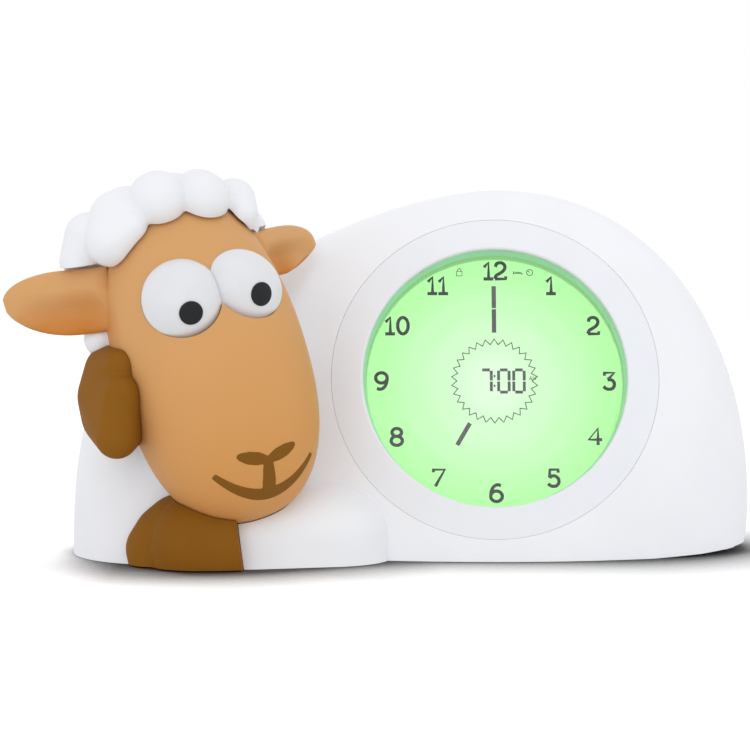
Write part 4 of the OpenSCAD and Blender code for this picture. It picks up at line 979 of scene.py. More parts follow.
# Places of the case screws across and up, in millimetres, and the front end of their wells
CASE_SCREWS = ((107, 26), (97, 84), (-14, 99), (-84, 26))
SCREW_WELL_R = 3.1 * MM
SCREW_WELL_Y = 8 * MM
# The battery bay: its place, its turn, the width of its door and how deep the door's opening is cut
BAY_X = -38 * MM
BAY_LEVEL = 35 * MM
BAY_TURN = math.radians(7.4)
DOOR_W = 58.7 * MM
DOOR_CUT = (-14 * MM, 30 * MM)
# The switch's opening: where it starts behind the middle plane, the knob's travel and its hidden flange
SWITCH_Y = 20 * MM
SWITCH_TRAVEL = 4 * MM
KNOB_FLANGE = 0.5 * MM
# The tray: its wall, its inner half width, its floor before the cells' middle, and its depth
TRAY_WALL = 1.4 * MM
TRAY_HALF = 27.75 * MM
TRAY_FLOOR = 7.4 * MM
TRAY_DEPTH = 17 * MM


def at_bay():
    """The battery bay's frame: +Y out of the rear wall, its origin under the wall's surface."""
    return Matrix.Translation((BAY_X, rear_surface(BAY_X, BAY_LEVEL), 0)) @ Matrix.Rotation(BAY_TURN, 4, 'Z')


def rear_tools():
    """Everything that opens the rear shell, as one tool."""
    body = bpy.context.scene.lamb_body
    bm = bmesh.new()
    outer = body.middle_y + REAR_REACH
    for i in range(SLOT_COUNT):
        rise = SLOT_PITCH * (i - (SLOT_COUNT - 1) / 2)
        half = math.sqrt(SLOT_CIRCLE_R ** 2 - rise ** 2) - SLOT_R
        middle = (body.ridge_x - SPEAKER_SHIFT, outer, SPEAKER_Z + rise)
        add_slot(bm, middle, half, SLOT_R, SLOT_DEPTH)
    for x, z in CASE_SCREWS:
        add_slot(bm, (x * MM, outer, z * MM), 0.0, SCREW_WELL_R, REAR_REACH - SCREW_WELL_Y)
    low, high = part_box("battery_door")
    half_door = DOOR_W / 2 + FIT
    inner, open_end = DOOR_CUT
    add_bar(bm, (-half_door, inner, low[2] - FIT), (half_door, open_end, high[2] + FIT), at_bay())
    low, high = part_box("usb_socket")
    add_bar(bm, (low[0] - FIT, low[1], low[2] - FIT), (high[0] + FIT, outer, high[2] + FIT))
    low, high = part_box("switch_knob")
    add_bar(
        bm, (low[0] - FIT, body.middle_y + SWITCH_Y, low[2] + KNOB_FLANGE - FIT),
        (high[0] + SWITCH_TRAVEL + FIT, outer, high[2] - KNOB_FLANGE + FIT),
    )
    return new_piece("rear_tools", bm)


def battery_tray():
    """Walls and floor of the bay behind the door."""
    low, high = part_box("battery_cells")
    cells = at_bay().inverted() @ Vector(((low[0] + high[0]) / 2, (low[1] + high[1]) / 2, 0))
    floor, wall = cells.y - TRAY_FLOOR, TRAY_WALL
    bottom, top = low[2] - FIT, high[2]
    outside = bmesh.new()
    add_bar(
        outside, (-TRAY_HALF - wall, floor - wall, bottom - wall),
        (TRAY_HALF + wall, floor + TRAY_DEPTH, top + wall), at_bay(),
    )
    room = bmesh.new()
    add_bar(room, (-TRAY_HALF, floor, bottom), (TRAY_HALF, floor + 2 * TRAY_DEPTH, top), at_bay())
    tray = new_piece("battery_tray", outside)
    carve(tray, new_piece("tray_room", room))
    return tray


# ---- Display ----


class LAMB_OT_display(bpy.types.Operator):
    """Control ring, bezel and numerals of the display"""

    bl_idname = "lamb.display"
    bl_label = "Display"

    def execute(self, context):
        finish(control_ring(), "ring", "ring", ["control_ring"])
        finish(bezel(), "case", "bezel", ["dial_bezel"])
        finish(numerals(), "case", "ink")
        finish(small_signs(), "case", "ink", paint="segment")
        return {'FINISHED'}


def arc_points(centre, radius, start, end, steps):
    """Points of an arc by angles in degrees."""
    angles = [math.radians(mix(start, end, i / steps)) for i in range(steps + 1)]
    return [(centre[0] + radius * math.cos(a), centre[1] + radius * math.sin(a)) for a in angles]


# The control ring: radii of its rounded lip and edge, its skirt's wall and lower end, and its face's steps
RING_LIP = 0.9 * MM
RING_EDGE = 0.2 * MM
SKIRT_WALL = 1.5 * MM
SKIRT_LOW = -12 * MM
RING_STEPS = 24


def control_ring():
    """The crowned ring with a rounded lip, its skirt, and an arrow at each of its four presses."""
    display = bpy.context.scene.lamb_display
    dial = Dial()
    lip_r, edge_r = dial.window_r + RING_LIP, dial.ring_edge - RING_EDGE
    skirt_r = dial.ring_edge - SKIRT_WALL

    def crowned(start, end, drop):
        radii = [mix(start, end, i / RING_STEPS) for i in range(RING_STEPS + 1)]
        return [(r, dial.crown_at(r) - drop) for r in radii]

    lip = arc_points((lip_r, dial.crown_at(lip_r) - RING_LIP), RING_LIP, 180, 92, 8)
    edge = arc_points((edge_r, dial.crown_at(edge_r) - RING_EDGE), RING_EDGE, 80, 0, 5)
    face, under = crowned(lip_r, edge_r, 0.0), crowned(skirt_r, dial.window_r, display.ring_t)
    outline = lip + face[1:] + edge + [(dial.ring_edge, SKIRT_LOW), (skirt_r, SKIRT_LOW)] + under
    bm = bmesh.new()
    turned(bm, outline, 320)
    for quarter in range(4):
        add_copy(bm, arrow_mark(dial, quarter * math.pi / 2))
    bmesh.ops.transform(bm, matrix=dial.place, verts=bm.verts)
    return new_piece("control_ring_face", bm)


# An arrow mark: its depth and half width, its line's width and height, how far it stands proud, how far
# it lies inside the middle of the ring's face, and the steps in which its sides follow the crown
ARROW_DEPTH = 5.6 * MM
ARROW_HALF = 6 * MM
ARROW_LINE = 0.5 * MM
ARROW_T = 0.5 * MM
ARROW_PROUD = 0.22 * MM
ARROW_SHIFT = 0.4 * MM
ARROW_CUTS = 11


def arrow_mark(dial, angle):
    """A raised triangle outline on the ring that points outwards."""
    radius = (dial.window_r + dial.ring_r) / 2 - ARROW_SHIFT
    tip, base = radius + ARROW_DEPTH / 2, radius - ARROW_DEPTH / 2
    corners = [(tip, 0.0), (base, ARROW_HALF), (base, -ARROW_HALF)]
    bm = bmesh.new()
    bmesh.ops.create_circle(bm, cap_ends=True, segments=3, radius=1.0)
    bm.verts.ensure_lookup_table()
    for vert, corner in zip(bm.verts, corners):
        vert.co = Vector((*corner, 0.0))
    bmesh.ops.recalc_face_normals(bm, faces=bm.faces)
    middle = bm.faces[:]
    bmesh.ops.inset_region(bm, faces=middle, thickness=ARROW_LINE, use_even_offset=True)
    bmesh.ops.delete(bm, geom=middle, context='FACES_ONLY')
    sides = [e for e in bm.edges if e.calc_length() > ARROW_HALF / 2]
    bmesh.ops.subdivide_edges(bm, edges=sides, cuts=ARROW_CUTS, use_grid_fill=True)
    lifted = bmesh.ops.extrude_face_region(bm, geom=bm.faces[:])
    bmesh.ops.translate(bm, vec=(0, 0, ARROW_T), verts=only_verts(lifted["geom"]))
    bmesh.ops.recalc_face_normals(bm, faces=bm.faces)
    for vert in bm.verts:
        vert.co.z += dial.crown_at(vert.co.xy.length) - ARROW_T + ARROW_PROUD
    bmesh.ops.rotate(bm, cent=(0, 0, 0), matrix=Matrix.Rotation(angle, 3, 'Z'), verts=bm.verts)
    return bm


# The recess wall: radii of its foot, its outside and its rim from the window's, and its gap to the ring
BEZEL_RADII = (-0.8 * MM, 1.8 * MM, 0.4 * MM)
BEZEL_GAP = 1.57 * MM


def bezel():
    """The wall of the recess between the ring and the lens."""
    display = bpy.context.scene.lamb_display
    dial = Dial()
    low, high = dial.lens_top, dial.crown_at(dial.window_r) - display.ring_t - BEZEL_GAP
    foot, outside, rim = (dial.window_r + reach for reach in BEZEL_RADII)
    bm = bmesh.new()
    turned(bm, [(foot, low), (outside, low), (outside, high), (rim, high)], 288)
    bmesh.ops.transform(bm, matrix=dial.place, verts=bm.verts)
    return new_piece("recess_wall", bm)


# A numeral's pen strokes, one unit high, with x from its own middle: each is its kind and its points,
# and a loop is its middle, half width and half height
FIGURES = {
    "0": [("loop", (0.0, 0.5), 0.31, 0.5)],
    "1": [("line", (-0.27, 0.72), (0.0, 1.0), (0.0, 0.0)), ("line", (-0.3, 0.0), (0.28, 0.0))],
    "2": [
        ("curve", (-0.28, 0.74), (-0.23, 0.91), (-0.02, 1.0), (0.21, 0.91), (0.28, 0.72), (0.2, 0.52),
         (-0.02, 0.35), (-0.25, 0.19), (-0.32, 0.0)),
        ("line", (-0.32, 0.0), (0.32, 0.0), (0.32, 0.16)),
    ],
    "3": [
        ("line", (-0.29, 0.82), (-0.29, 1.0), (0.29, 1.0), (-0.1, 0.58)),
        ("curve", (-0.1, 0.58), (0.12, 0.56), (0.27, 0.42), (0.28, 0.22), (0.17, 0.05), (-0.03, 0.0),
         (-0.22, 0.05), (-0.35, 0.17)),
    ],
    "4": [("line", (0.17, 0.0), (0.17, 1.0), (-0.38, 0.33), (0.41, 0.33))],
    "5": [
        ("line", (0.26, 0.82), (0.26, 1.0), (-0.22, 1.0), (-0.25, 0.52)),
        ("curve", (-0.25, 0.52), (-0.04, 0.63), (0.18, 0.56), (0.3, 0.33), (0.22, 0.09), (-0.01, 0.0),
         (-0.21, 0.05), (-0.34, 0.16)),
    ],
    "6": [
        ("loop", (0.0, 0.31), 0.34, 0.31),
        ("curve", (0.27, 0.95), (0.08, 1.0), (-0.14, 0.9), (-0.29, 0.64), (-0.34, 0.31)),
    ],
    "7": [("line", (-0.32, 0.84), (-0.32, 1.0), (0.34, 1.0), (-0.21, 0.0))],
    "8": [("loop", (0.0, 0.765), 0.28, 0.235), ("loop", (0.0, 0.26), 0.33, 0.27)],
    "9": [
        ("loop", (0.0, 0.69), 0.34, 0.31),
        ("curve", (-0.27, 0.05), (-0.08, 0.0), (0.14, 0.1), (0.29, 0.36), (0.34, 0.69)),
    ],
}
PAIR_SPACING = {"10": 0.75, "11": 0.65, "12": 0.70}
LOOP_POINTS = 12
# The print: how far it lies over the panel, how thick it is, and its shift to the right of the dial
PRINT_LIFT = 0.1 * MM
PRINT_T = 0.12 * MM
PRINT_SHIFT = 0.3 * MM


def add_stroke(curve, stroke, origin, height):
    """Adds one pen stroke of a numeral or a sign to a curve."""
    kind, *points = stroke
    if kind == "loop":
        (cx, cy), half_w, half_h = points
        angles = [2 * math.pi * i / LOOP_POINTS for i in range(LOOP_POINTS)]
        points = [(cx + half_w * math.sin(a), cy + half_h * math.cos(a)) for a in angles]
    spline = curve.splines.new('BEZIER')
    spline.bezier_points.add(len(points) - 1)
    spline.use_cyclic_u = kind == "loop"
    for bezier, (x, y) in zip(spline.bezier_points, points):
        bezier.co = (origin[0] + x * height, origin[1] + (y - 0.5) * height, 0.0)
        bezier.handle_left_type = bezier.handle_right_type = 'VECTOR' if kind == "line" else 'AUTO'


def pen_mesh(name, curve, width, thickness, matrix):
    """The flat mesh of a curve's strokes, laid in a placing."""
    curve.dimensions = '3D'
    curve.bevel_depth = width / 2
    curve.bevel_resolution = 2
    curve.resolution_u = 8
    curve.use_fill_caps = True
    pen = bpy.data.objects.new(name, curve)
    bpy.context.collection.objects.link(pen)
    bpy.context.view_layer.update()
    depsgraph = bpy.context.evaluated_depsgraph_get()
    mesh = bpy.data.meshes.new_from_object(pen.evaluated_get(depsgraph))
    bpy.data.objects.remove(pen)
    bm = bmesh.new()
    bm.from_mesh(mesh)
    bmesh.ops.scale(bm, vec=(1, 1, thickness / width), verts=bm.verts)
    bmesh.ops.transform(bm, matrix=matrix, verts=bm.verts)
    return new_piece(name, bm)


def printed(name, curve, width):
    """The printed mesh of a curve's strokes on the panel."""
    dial = Dial()
    level = Matrix.Translation((0, 0, dial.panel_top + PRINT_LIFT))
    return pen_mesh(name, curve, width, PRINT_T, dial.place @ level)


def numerals():
    """The twelve numerals, upright on the panel."""
    display = bpy.context.scene.lamb_display
    curve = bpy.data.curves.new("numerals", 'CURVE')
    height = display.numeral_h - display.numeral_stroke
    for hour in range(1, 13):
        angle = hour * math.pi / 6
        x, y = display.numeral_r * math.sin(angle), display.numeral_r * math.cos(angle)
        text = str(hour)
        spacing = PAIR_SPACING.get(text, 0.0) * height
        for place, figure in enumerate(text):
            shift = PRINT_SHIFT + spacing * (place - (len(text) - 1) / 2)
            for stroke in FIGURES[figure]:
                add_stroke(curve, stroke, (x + shift, y), height)
    return printed("numerals", curve, display.numeral_stroke)


# Small signs in millimetres from the middle of the dial: the lock, the bed, the timer and AM
SMALL_SIGNS = (
    ("line", (-12.8, 37.3), (-12.8, 38.9), (-10.9, 38.9), (-10.9, 37.3), (-12.8, 37.3)),
    ("line", (-12.4, 38.9), (-12.4, 39.5), (-12.1, 39.9), (-11.6, 39.9), (-11.3, 39.5), (-11.3, 38.9)),
    ("line", (6.9, 37.8), (6.9, 39.0)), ("line", (6.9, 38.2), (9.9, 38.2), (9.9, 37.7)),
    ("line", (7.4, 38.6), (8.4, 38.6), (9.8, 38.3)),
    ("loop", (12.5, 38.5), 1.05, 1.05), ("line", (12.5, 38.5), (11.9, 39.1)),
    ("line", (12.0, 0.4), (12.4, 1.7), (12.8, 0.4)), ("line", (12.15, 0.8), (12.65, 0.8)),
    ("line", (13.2, 0.4), (13.2, 1.7), (13.65, 0.8), (14.1, 1.7), (14.1, 0.4)),
)
SIGN_LINE = 0.3 * MM
# The sun's outline: the tips of its teeth, their depth and number, and its line's share of a sign's
SUN_R = 14.8 * MM
SUN_TOOTH = 1.9 * MM
SUN_TEETH = 30
SUN_LINE = 1.7


def small_signs():
    """The fine printed signs and the sun's outline."""
    curve = bpy.data.curves.new("small_signs", 'CURVE')
    for stroke in SMALL_SIGNS:
        add_stroke(curve, stroke, (0.0, 0.5 * MM), MM)
    sun = curve.splines.new('POLY')
    sun.points.add(2 * SUN_TEETH - 1)
    sun.use_cyclic_u = True
    for i, point in enumerate(sun.points):
        radius = SUN_R - (i % 2) * SUN_TOOTH
        angle = math.pi * i / SUN_TEETH
        point.co = (radius * math.sin(angle), radius * math.cos(angle), 0.0, 1.0)
        point.radius = SUN_LINE
    return printed("small_signs", curve, SIGN_LINE)


# ---- Head pieces ----


# Where the face meets the back of the head, behind the head's middle
CHEEK_SEAM = 5 * MM
# Gap round an eye in its socket, and how far the socket's tool reaches behind and before the outline
SOCKET_GAP = 0.06 * MM
SOCKET_REACH = (-2 * MM, 30 * MM)


class LAMB_OT_head(bpy.types.Operator):
    """Face, back of the head, eyes, pupils, nose and smile"""

    bl_idname = "lamb.head"
    bl_label = "Head"

    def execute(self, context):
        head = bpy.context.scene.lamb_head
        face = new_piece("face", head_half(1))
        thicken(face, head.wall)
        for side in (-1, 1):
            outline = eye_placing(side) @ eye_stretch(side)
            carve(face, peg("socket", outline, eye_sizes(side)[0] + SOCKET_GAP, *SOCKET_REACH))
        finish(face, "case", "skin", ["face_shell"])
        back = new_piece("back_of_head", head_half(-1))
        thicken(back, head.wall)
        carve(back, new_piece("body_tool", dome(-FIT, 120, 60)))
        carve(back, new_piece("chest_tool", chest(-FIT)))
        finish(back, "case", "wool", ["head_back"])
        finish(nape_wool(), "case", "wool")
        finish(eyes(), "case", "eye_white", ["eyes"])
        finish(pupils(), "case", "pupil", ["pupils"])
        finish(nose_and_smile(), "case", "mark", ["nose_and_mouth"])
        return {'FINISHED'}


def head_half(side):
    """The face's or the nape's part of the head's skin."""
    bm = head_solid(placed=False)
    cut_plane(bm, (0, CHEEK_SEAM, 0), (0, side, 0))
    bmesh.ops.transform(bm, matrix=HeadForm().placing, verts=bm.verts)
    return bm


# The rounded rim of an eye, and the angle in degrees at which its dome starts over the rim
EYE_RIM = 0.35 * MM
EYE_DOME_START = 1.5


def eyes():
    """Two gloss domes that meet in a fine seam."""
    head = bpy.context.scene.lamb_head
    form = HeadForm()
    bm = bmesh.new()
    for side in (-1, 1):
        edge, base = eye_sizes(side)
        first = math.degrees(math.acos(edge / head.eye_dome)) + EYE_DOME_START
        arc = arc_points((0, 0), head.eye_dome, first, 90, 40)
        foot = [(0.0, base - EYE_STUB), (edge, base - EYE_STUB), (edge, base - EYE_RIM / 2)]
        eye = bmesh.new()
        turned(eye, foot + arc[:-1] + [(0.0, head.eye_dome)], 160)
        outline = form.placing.inverted() @ eye_placing(side) @ eye_stretch(side)
        bmesh.ops.transform(eye, matrix=outline, verts=eye.verts)
        cut_plane(eye, (side * EYE_SEAM / 2, 0, 0), (-side, 0, 0), close=True)
        soften_edges(eye, EYE_RIM, 3, 40)
        bmesh.ops.transform(eye, matrix=form.placing, verts=eye.verts)
        add_copy(bm, eye)
    return new_piece("eye_domes", bm)


# A pupil: how far it stands proud of the dome, its thickness, and its rounded edge as a height and an angle
PUPIL_PROUD = 0.45 * MM
PUPIL_T = 1.5 * MM
PUPIL_EDGE = 0.12 * MM
PUPIL_EDGE_TURN = 1.2


def pupils():
    """Two dark discs that follow the domes and stand a little proud."""
    head = bpy.context.scene.lamb_head
    reach = head.eye_dome + PUPIL_PROUD
    edge = math.degrees(math.acos(head.pupil_r / reach)) + PUPIL_EDGE_TURN
    arc = arc_points((0, 0), reach, edge, 90, 16)
    floor = reach - PUPIL_T
    foot = [(0.0, floor), (head.pupil_r, floor), (head.pupil_r, arc[0][1] - PUPIL_EDGE)]
    bm = bmesh.new()
    for side in (-1, 1):
        disc = bmesh.new()
        turned(disc, foot + arc[:-1] + [(0.0, reach)], 96)
        right, up = (math.radians(angle) for angle in GAZE[side])
        aim = Matrix.Rotation(-up, 4, 'X') @ Matrix.Rotation(right, 4, 'Y')
        bmesh.ops.transform(disc, matrix=eye_placing(side) @ aim, verts=disc.verts)
        add_copy(bm, disc)
    return new_piece("pupil_discs", bm)


# The nose and smile: the nose's level, the turn of the marks about a point over it, and their height
NOSE_Z = -31 * MM
MARK_TURN = math.radians(4.5)
MARK_PIVOT = -6 * MM
MARK_PROUD = 0.3 * MM
MARK_RISE = 0.4
# Strokes in millimetres from the nose's middle: across, up and their half width
NOSTRIL = ((0.2, -0.9, 1.25), (3.4, 0.1, 2.15), (6.6, 1.0, 2.1), (9.2, 1.9, 1.35), (10.4, 2.3, 0.6))
NOSE_STEM = ((0.0, -0.8, 1.6), (0.0, -4.0, 2.05), (0.1, -8.0, 2.4), (0.0, -10.8, 2.4))
# The smile is a parabola: its half width, its lowest point, its rise, and how its line thins outwards
SMILE_HALF = 17.7
SMILE_LOW = -12
SMILE_RISE = 9.5
SMILE_LINE = 2.0
SMILE_THINNING = 1.15
SMILE_STEPS = 16


def nose_and_smile():
    """Brown inlay of the nose, the line under it and the smile, following the face."""
    form = HeadForm()
    strokes = [[(side * x, z, width) for x, z, width in NOSTRIL] for side in (-1, 1)]
    strokes.append(NOSE_STEM)
    shares = [mix(-1, 1, i / SMILE_STEPS) for i in range(SMILE_STEPS + 1)]
    strokes.append([
        (SMILE_HALF * a, SMILE_LOW + SMILE_RISE * a * a, SMILE_LINE - SMILE_THINNING * abs(a) ** 1.5)
        for a in shares
    ])
    curve = bpy.data.curves.new("marks", 'CURVE')
    for stroke in strokes:
        spline = curve.splines.new('BEZIER')
        spline.bezier_points.add(len(stroke) - 1)
        for bezier, (x, z, width) in zip(spline.bezier_points, stroke):
            bezier.co = (x * MM, z * MM, 0.0)
            bezier.radius = width
            bezier.handle_left_type = bezier.handle_right_type = 'AUTO'
    marks = pen_mesh("nose_and_smile", curve, 2 * MM, 2 * MM, Matrix())
    rebuild(marks, 0.25 * MM, 2)
    for vert in marks.data.vertices:
        across, up = vert.co.x, vert.co.y - MARK_PIVOT
        x = across * math.cos(MARK_TURN) + up * math.sin(MARK_TURN)
        z = NOSE_Z + MARK_PIVOT + up * math.cos(MARK_TURN) - across * math.sin(MARK_TURN)
        proud = min(MARK_PROUD, vert.co.z * MARK_RISE)
        vert.co = form.placing @ Vector((x, form.face_y(x, z) - proud, z))
    return marks


class LAMB_OT_wool(bpy.types.Operator):
    """Wool cap of round curls"""

    bl_idname = "lamb.wool"
    bl_label = "Wool Cap"

    def execute(self, context):
        finish(wool_cap(), "cap", "wool", ["wool_cap"], angle=60)
        return {'FINISHED'}


# The cap's lumps over the brow, each the skin stretched over balls: their middles in the head's own frame
# and their radii, in millimetres
BROW_LUMPS = (
    (((-26.9, 4, 53.6), 7.9), ((-32.3, 5, 46.3), 6.4)),
    (((-17.8, -3, 56.6), 9.3), ((-23.2, -6, 49.9), 8.4), ((-16.6, -11.5, 52.6), 5)),
    (((-4.8, -8, 58.4), 9.8), ((-5.4, -11.5, 58.8), 9.4)),
    (((9.4, -8, 56.1), 9.1), ((9.4, -11.5, 55), 9)),
    (((22.2, -4, 51.7), 7.5), ((22.0, -9, 46.6), 5.4), ((24.2, -8, 41.6), 2.8)),
)
# Curls in the head's own frame: each one's middle in millimetres and its share of the curl radius
CAP_CURLS = (
    (-25, 10, 49, 0.84), (-12, 5, 55, 0.95), (4, 5, 55.4, 0.95), (17, 7, 51.5, 0.9), (27, 10, 41, 0.72),
    (-27, 17, 38, 0.84), (-15, 19, 47, 0.98), (2, 19, 49, 1.0), (18, 18, 44, 0.94), (-14, 22.5, 34, 0.98),
    (3, 22.5, 35, 1.0), (19, 20, 32, 0.92),
)
NAPE_CURLS = ((-29.2, 12, 19.8, 0.56), (-16, 20.5, 13, 0.7), (16, 20.5, 13, 0.7), (27, 14, 17, 0.6))


def add_curls(bm, places):
    """Adds a ball for each curl, in the head's own frame."""
    head = bpy.context.scene.lamb_head
    for x, y, z, share in places:
        place = Matrix.Translation((x * MM, y * MM, z * MM))
        bmesh.ops.create_icosphere(bm, subdivisions=5, radius=head.curl_r * share, matrix=place)


def placed_in_head(piece):
    """Moves a piece's mesh from the head's own frame to its place."""
    piece.data.transform(HeadForm().placing)
    return piece


# The cap's ground under the curls: its thickness, and how far its edge lies over the hairline
CAP_GROUND = 2.4 * MM
CAP_GROUND_RISE = 6.5 * MM
# Room round an ear in the wool, how far it opens forwards, and how steeply
EAR_ROOM = 1.1 * MM
EAR_FRONT = 14 * MM
EAR_STEEPNESS = 4.0
# How deep the nape's curls are let into the head
NAPE_SINK = 0.4 * MM


def wool_cap():
    """Curls melted into one soft cap that sits over the crown."""
    head = bpy.context.scene.lamb_head
    down = Vector((0, -math.sin(head.hair_tilt), -math.cos(head.hair_tilt)))
    bm = head_solid(-head.cap_gap - CAP_GROUND, 96, 64, placed=False)
    cut_plane(bm, -down * (head.hair_z + CAP_GROUND_RISE), down, close=True)
    add_curls(bm, CAP_CURLS)
    for lump in BROW_LUMPS:
        add_hull(bm, lump, 0.0)
    cap = new_piece("wool", bm)
    rebuild(cap, 0.7 * MM, 3)
    trim(cap, [(-down * (head.hair_z - head.curl_hang), down)])
    carve(cap, new_piece("crown_tool", head_solid(-head.cap_gap, 128, 96, placed=False)))
    placed_in_head(cap)
    for side in (-1, 1):
        carve(cap, ear_leaf(side, EAR_ROOM))
    return cap


def nape_wool():
    """Curls on the back of the head."""
    bm = bmesh.new()
    add_curls(bm, NAPE_CURLS)
    wool = new_piece("nape_wool", bm)
    carve(wool, new_piece("nape_tool", head_solid(NAPE_SINK, placed=False)))
    return placed_in_head(wool)


class LAMB_OT_ears(bpy.types.Operator):
    """Left and right ears"""

    bl_idname = "lamb.ears"
    bl_label = "Ears"

    def execute(self, context):
        for side, node in ((-1, "ear_left"), (1, "ear_right")):
            ear = ear_leaf(side)
            carve(ear, new_piece("head_tool", head_solid()))
            finish(ear, "case", "skin", [node], angle=60)
        return {'FINISHED'}


# Each ear: height of its root, rise to its tip and half breadth
EAR_SHAPES = {-1: (32.3 * MM, 7.0 * MM, 11 * MM), 1: (31.8 * MM, -1.8 * MM, 8.2 * MM)}
# How full each ear's outline is towards its tip, over and under its middle line
EAR_FULLNESS = {-1: (1.9, 2.1), 1: (2.4, 1.35)}
EAR_LENGTH = 37.5 * MM
EAR_SWEEP = math.radians(34)
EAR_ROOT = 3 * MM
EAR_BACK = 0.5 * MM
# Along an ear, as shares: where it is widest, and its outline's reach from there to the root and the tip
EAR_WIDEST = 0.42
EAR_REACH = (0.9, 0.59)
ROOT_FULLNESS = 2.7
# Half thickness of an ear at its root and tip, and how fast its rounded ends come up to it
EAR_HALF_T = (4.2 * MM, 1.8 * MM)
EAR_ROUNDING = 1.6
# The dish in an ear's face: its depth, and its drop and half width as shares of the half breadth
EAR_DISH = 3.2 * MM
DISH_DROP = 0.3
DISH_HALF = 0.75
# Along an ear, as shares: where the dish comes to its full depth, where it ends, and over what it ends
DISH_START = 0.2
DISH_END = 0.95
DISH_FADE = 0.35


def ear_leaf(side, gap=0.0):
    """A leaf-shaped ear whose face is dished, or with a gap the room that it needs."""
    form = HeadForm()
    root_z, rise, breadth = EAR_SHAPES[side]
    root_x = form.width(EAR_SHAPES[-1][0]) - EAR_ROOT
    over, under = EAR_FULLNESS[side]

    def place(direction):
        t = (direction.z + 1) / 2
        ring = math.hypot(direction.x, direction.y)
        theta = math.atan2(direction.y, direction.x)
        outwards = t > EAR_WIDEST
        fullness = mix(under, over, smooth(0.5 + math.cos(theta))) if outwards else ROOT_FULLNESS
        half_breadth = breadth * rounded((t - EAR_WIDEST) / EAR_REACH[outwards], fullness) + gap
        across = half_breadth * math.cos(theta)
        thick = (mix(*EAR_HALF_T, t) * min(1.0, ring * EAR_ROUNDING) + gap) * math.sin(theta)
        if gap:
            thick -= EAR_FRONT * min(1.0, max(0.0, -EAR_STEEPNESS * math.sin(theta)))
        elif thick < 0:
            low = smooth(1 - abs(across + breadth * DISH_DROP) / (breadth * DISH_HALF))
            thick += EAR_DISH * low * smooth(t / DISH_START) * smooth((DISH_END - t) / DISH_FADE)
        return Vector((side * (EAR_LENGTH + gap) * t, thick, rise * t ** 1.5 + across))

    bm = sphere_form(place, 96, 96)
    bmesh.ops.recalc_face_normals(bm, faces=bm.faces)
    root = Matrix.Translation((side * root_x, EAR_BACK, root_z)) @ Matrix.Rotation(side * EAR_SWEEP, 4, 'Z')
    bmesh.ops.transform(bm, matrix=form.placing @ root, verts=bm.verts)
    return new_piece("ear_left_leaf" if side < 0 else "ear_right_leaf", bm)


# ---- Hooves ----

# How far the hooves' plane lies before the body's middle plane
HOOF_OUT = 50 * MM
# A hoof's lobes, each the skin stretched over balls: their places, with the depth from the hooves' plane,
# and their radii, in millimetres
UPPER_HOOF = (
    (((-84.5, -16, 68.6), 5.2), ((-88.4, 0, 65), 10), ((-85.5, -14, 61), 6.3), ((-88.6, 0, 57), 12)),
    (((-88.6, 0, 57), 12), ((-87.2, 0, 51.4), 12.3), ((-84.3, -20, 59.8), 6), ((-86, -18, 45), 7),
     ((-86, -13, 51), 8.5), ((-88, 14, 56), 10)),
)
LOWER_HOOF = (
    (((-46, 2, 8), 15), ((-54, 1, 8.5), 16), ((-61, 0, 9), 15.7), ((-66.5, -1.5, 4.5), 10)),
    (((-54, 5, 9), 15.4), ((-60, 6, 9.5), 15.2), ((-66, 6.5, 10), 14.5), ((-70.5, 7, 9), 12.4),
     ((-75.5, 7, 5.5), 10), ((-75, 6, 1.5), 9.6)),
)


def add_hull(bm, balls, depth_y):
    """Adds the skin stretched over some balls."""
    skin = bmesh.new()
    for (x, y, z), radius in balls:
        place = Matrix.Translation((x * MM, depth_y + y * MM, z * MM))
        bmesh.ops.create_icosphere(skin, subdivisions=4, radius=radius * MM, matrix=place)
    hull = bmesh.ops.convex_hull(skin, input=skin.verts)
    bmesh.ops.delete(skin, geom=only_verts(hull["geom_interior"]), context='VERTS')
    bmesh.ops.recalc_face_normals(skin, faces=skin.faces)
    add_copy(bm, skin)


# How far the lower hoof stays over the table, and off the cuff
HOOF_LIFT = 0.6 * MM
CUFF_GAP = 0.15 * MM


def hoof(name, lobes):
    """A cloven hoof: its lobes melted together."""
    bm = bmesh.new()
    for balls in lobes:
        add_hull(bm, balls, bpy.context.scene.lamb_body.middle_y - HOOF_OUT)
    piece = new_piece(name, bm)
    rebuild(piece, 0.6 * MM, 9)
    return piece


class LAMB_OT_hooves(bpy.types.Operator):
    """Upper and lower hooves"""

    bl_idname = "lamb.hooves"
    bl_label = "Hooves"

    def execute(self, context):
        body = bpy.context.scene.lamb_body
        upper = hoof("upper_hoof_lobes", UPPER_HOOF)
        lower = hoof("lower_hoof_lobes", LOWER_HOOF)
        cuff = (body.cuff_x - CUFF_GAP, 0, body.arm_height / 2)
        trim(lower, [((0, 0, HOOF_LIFT), (0, 0, -1)), (cuff, (1, 0, CUFF_SLANT))])
        for piece, node in ((upper, "upper_hoof"), (lower, "lower_hoof")):
            carve(piece, new_piece("head_tool", head_solid(-FIT)))
            carve(piece, new_piece("chest_tool", chest(-FIT)))
            finish(piece, "case", "hoof", [node], angle=50)
        return {'FINISHED'}


# ---- The frame's own pieces ----

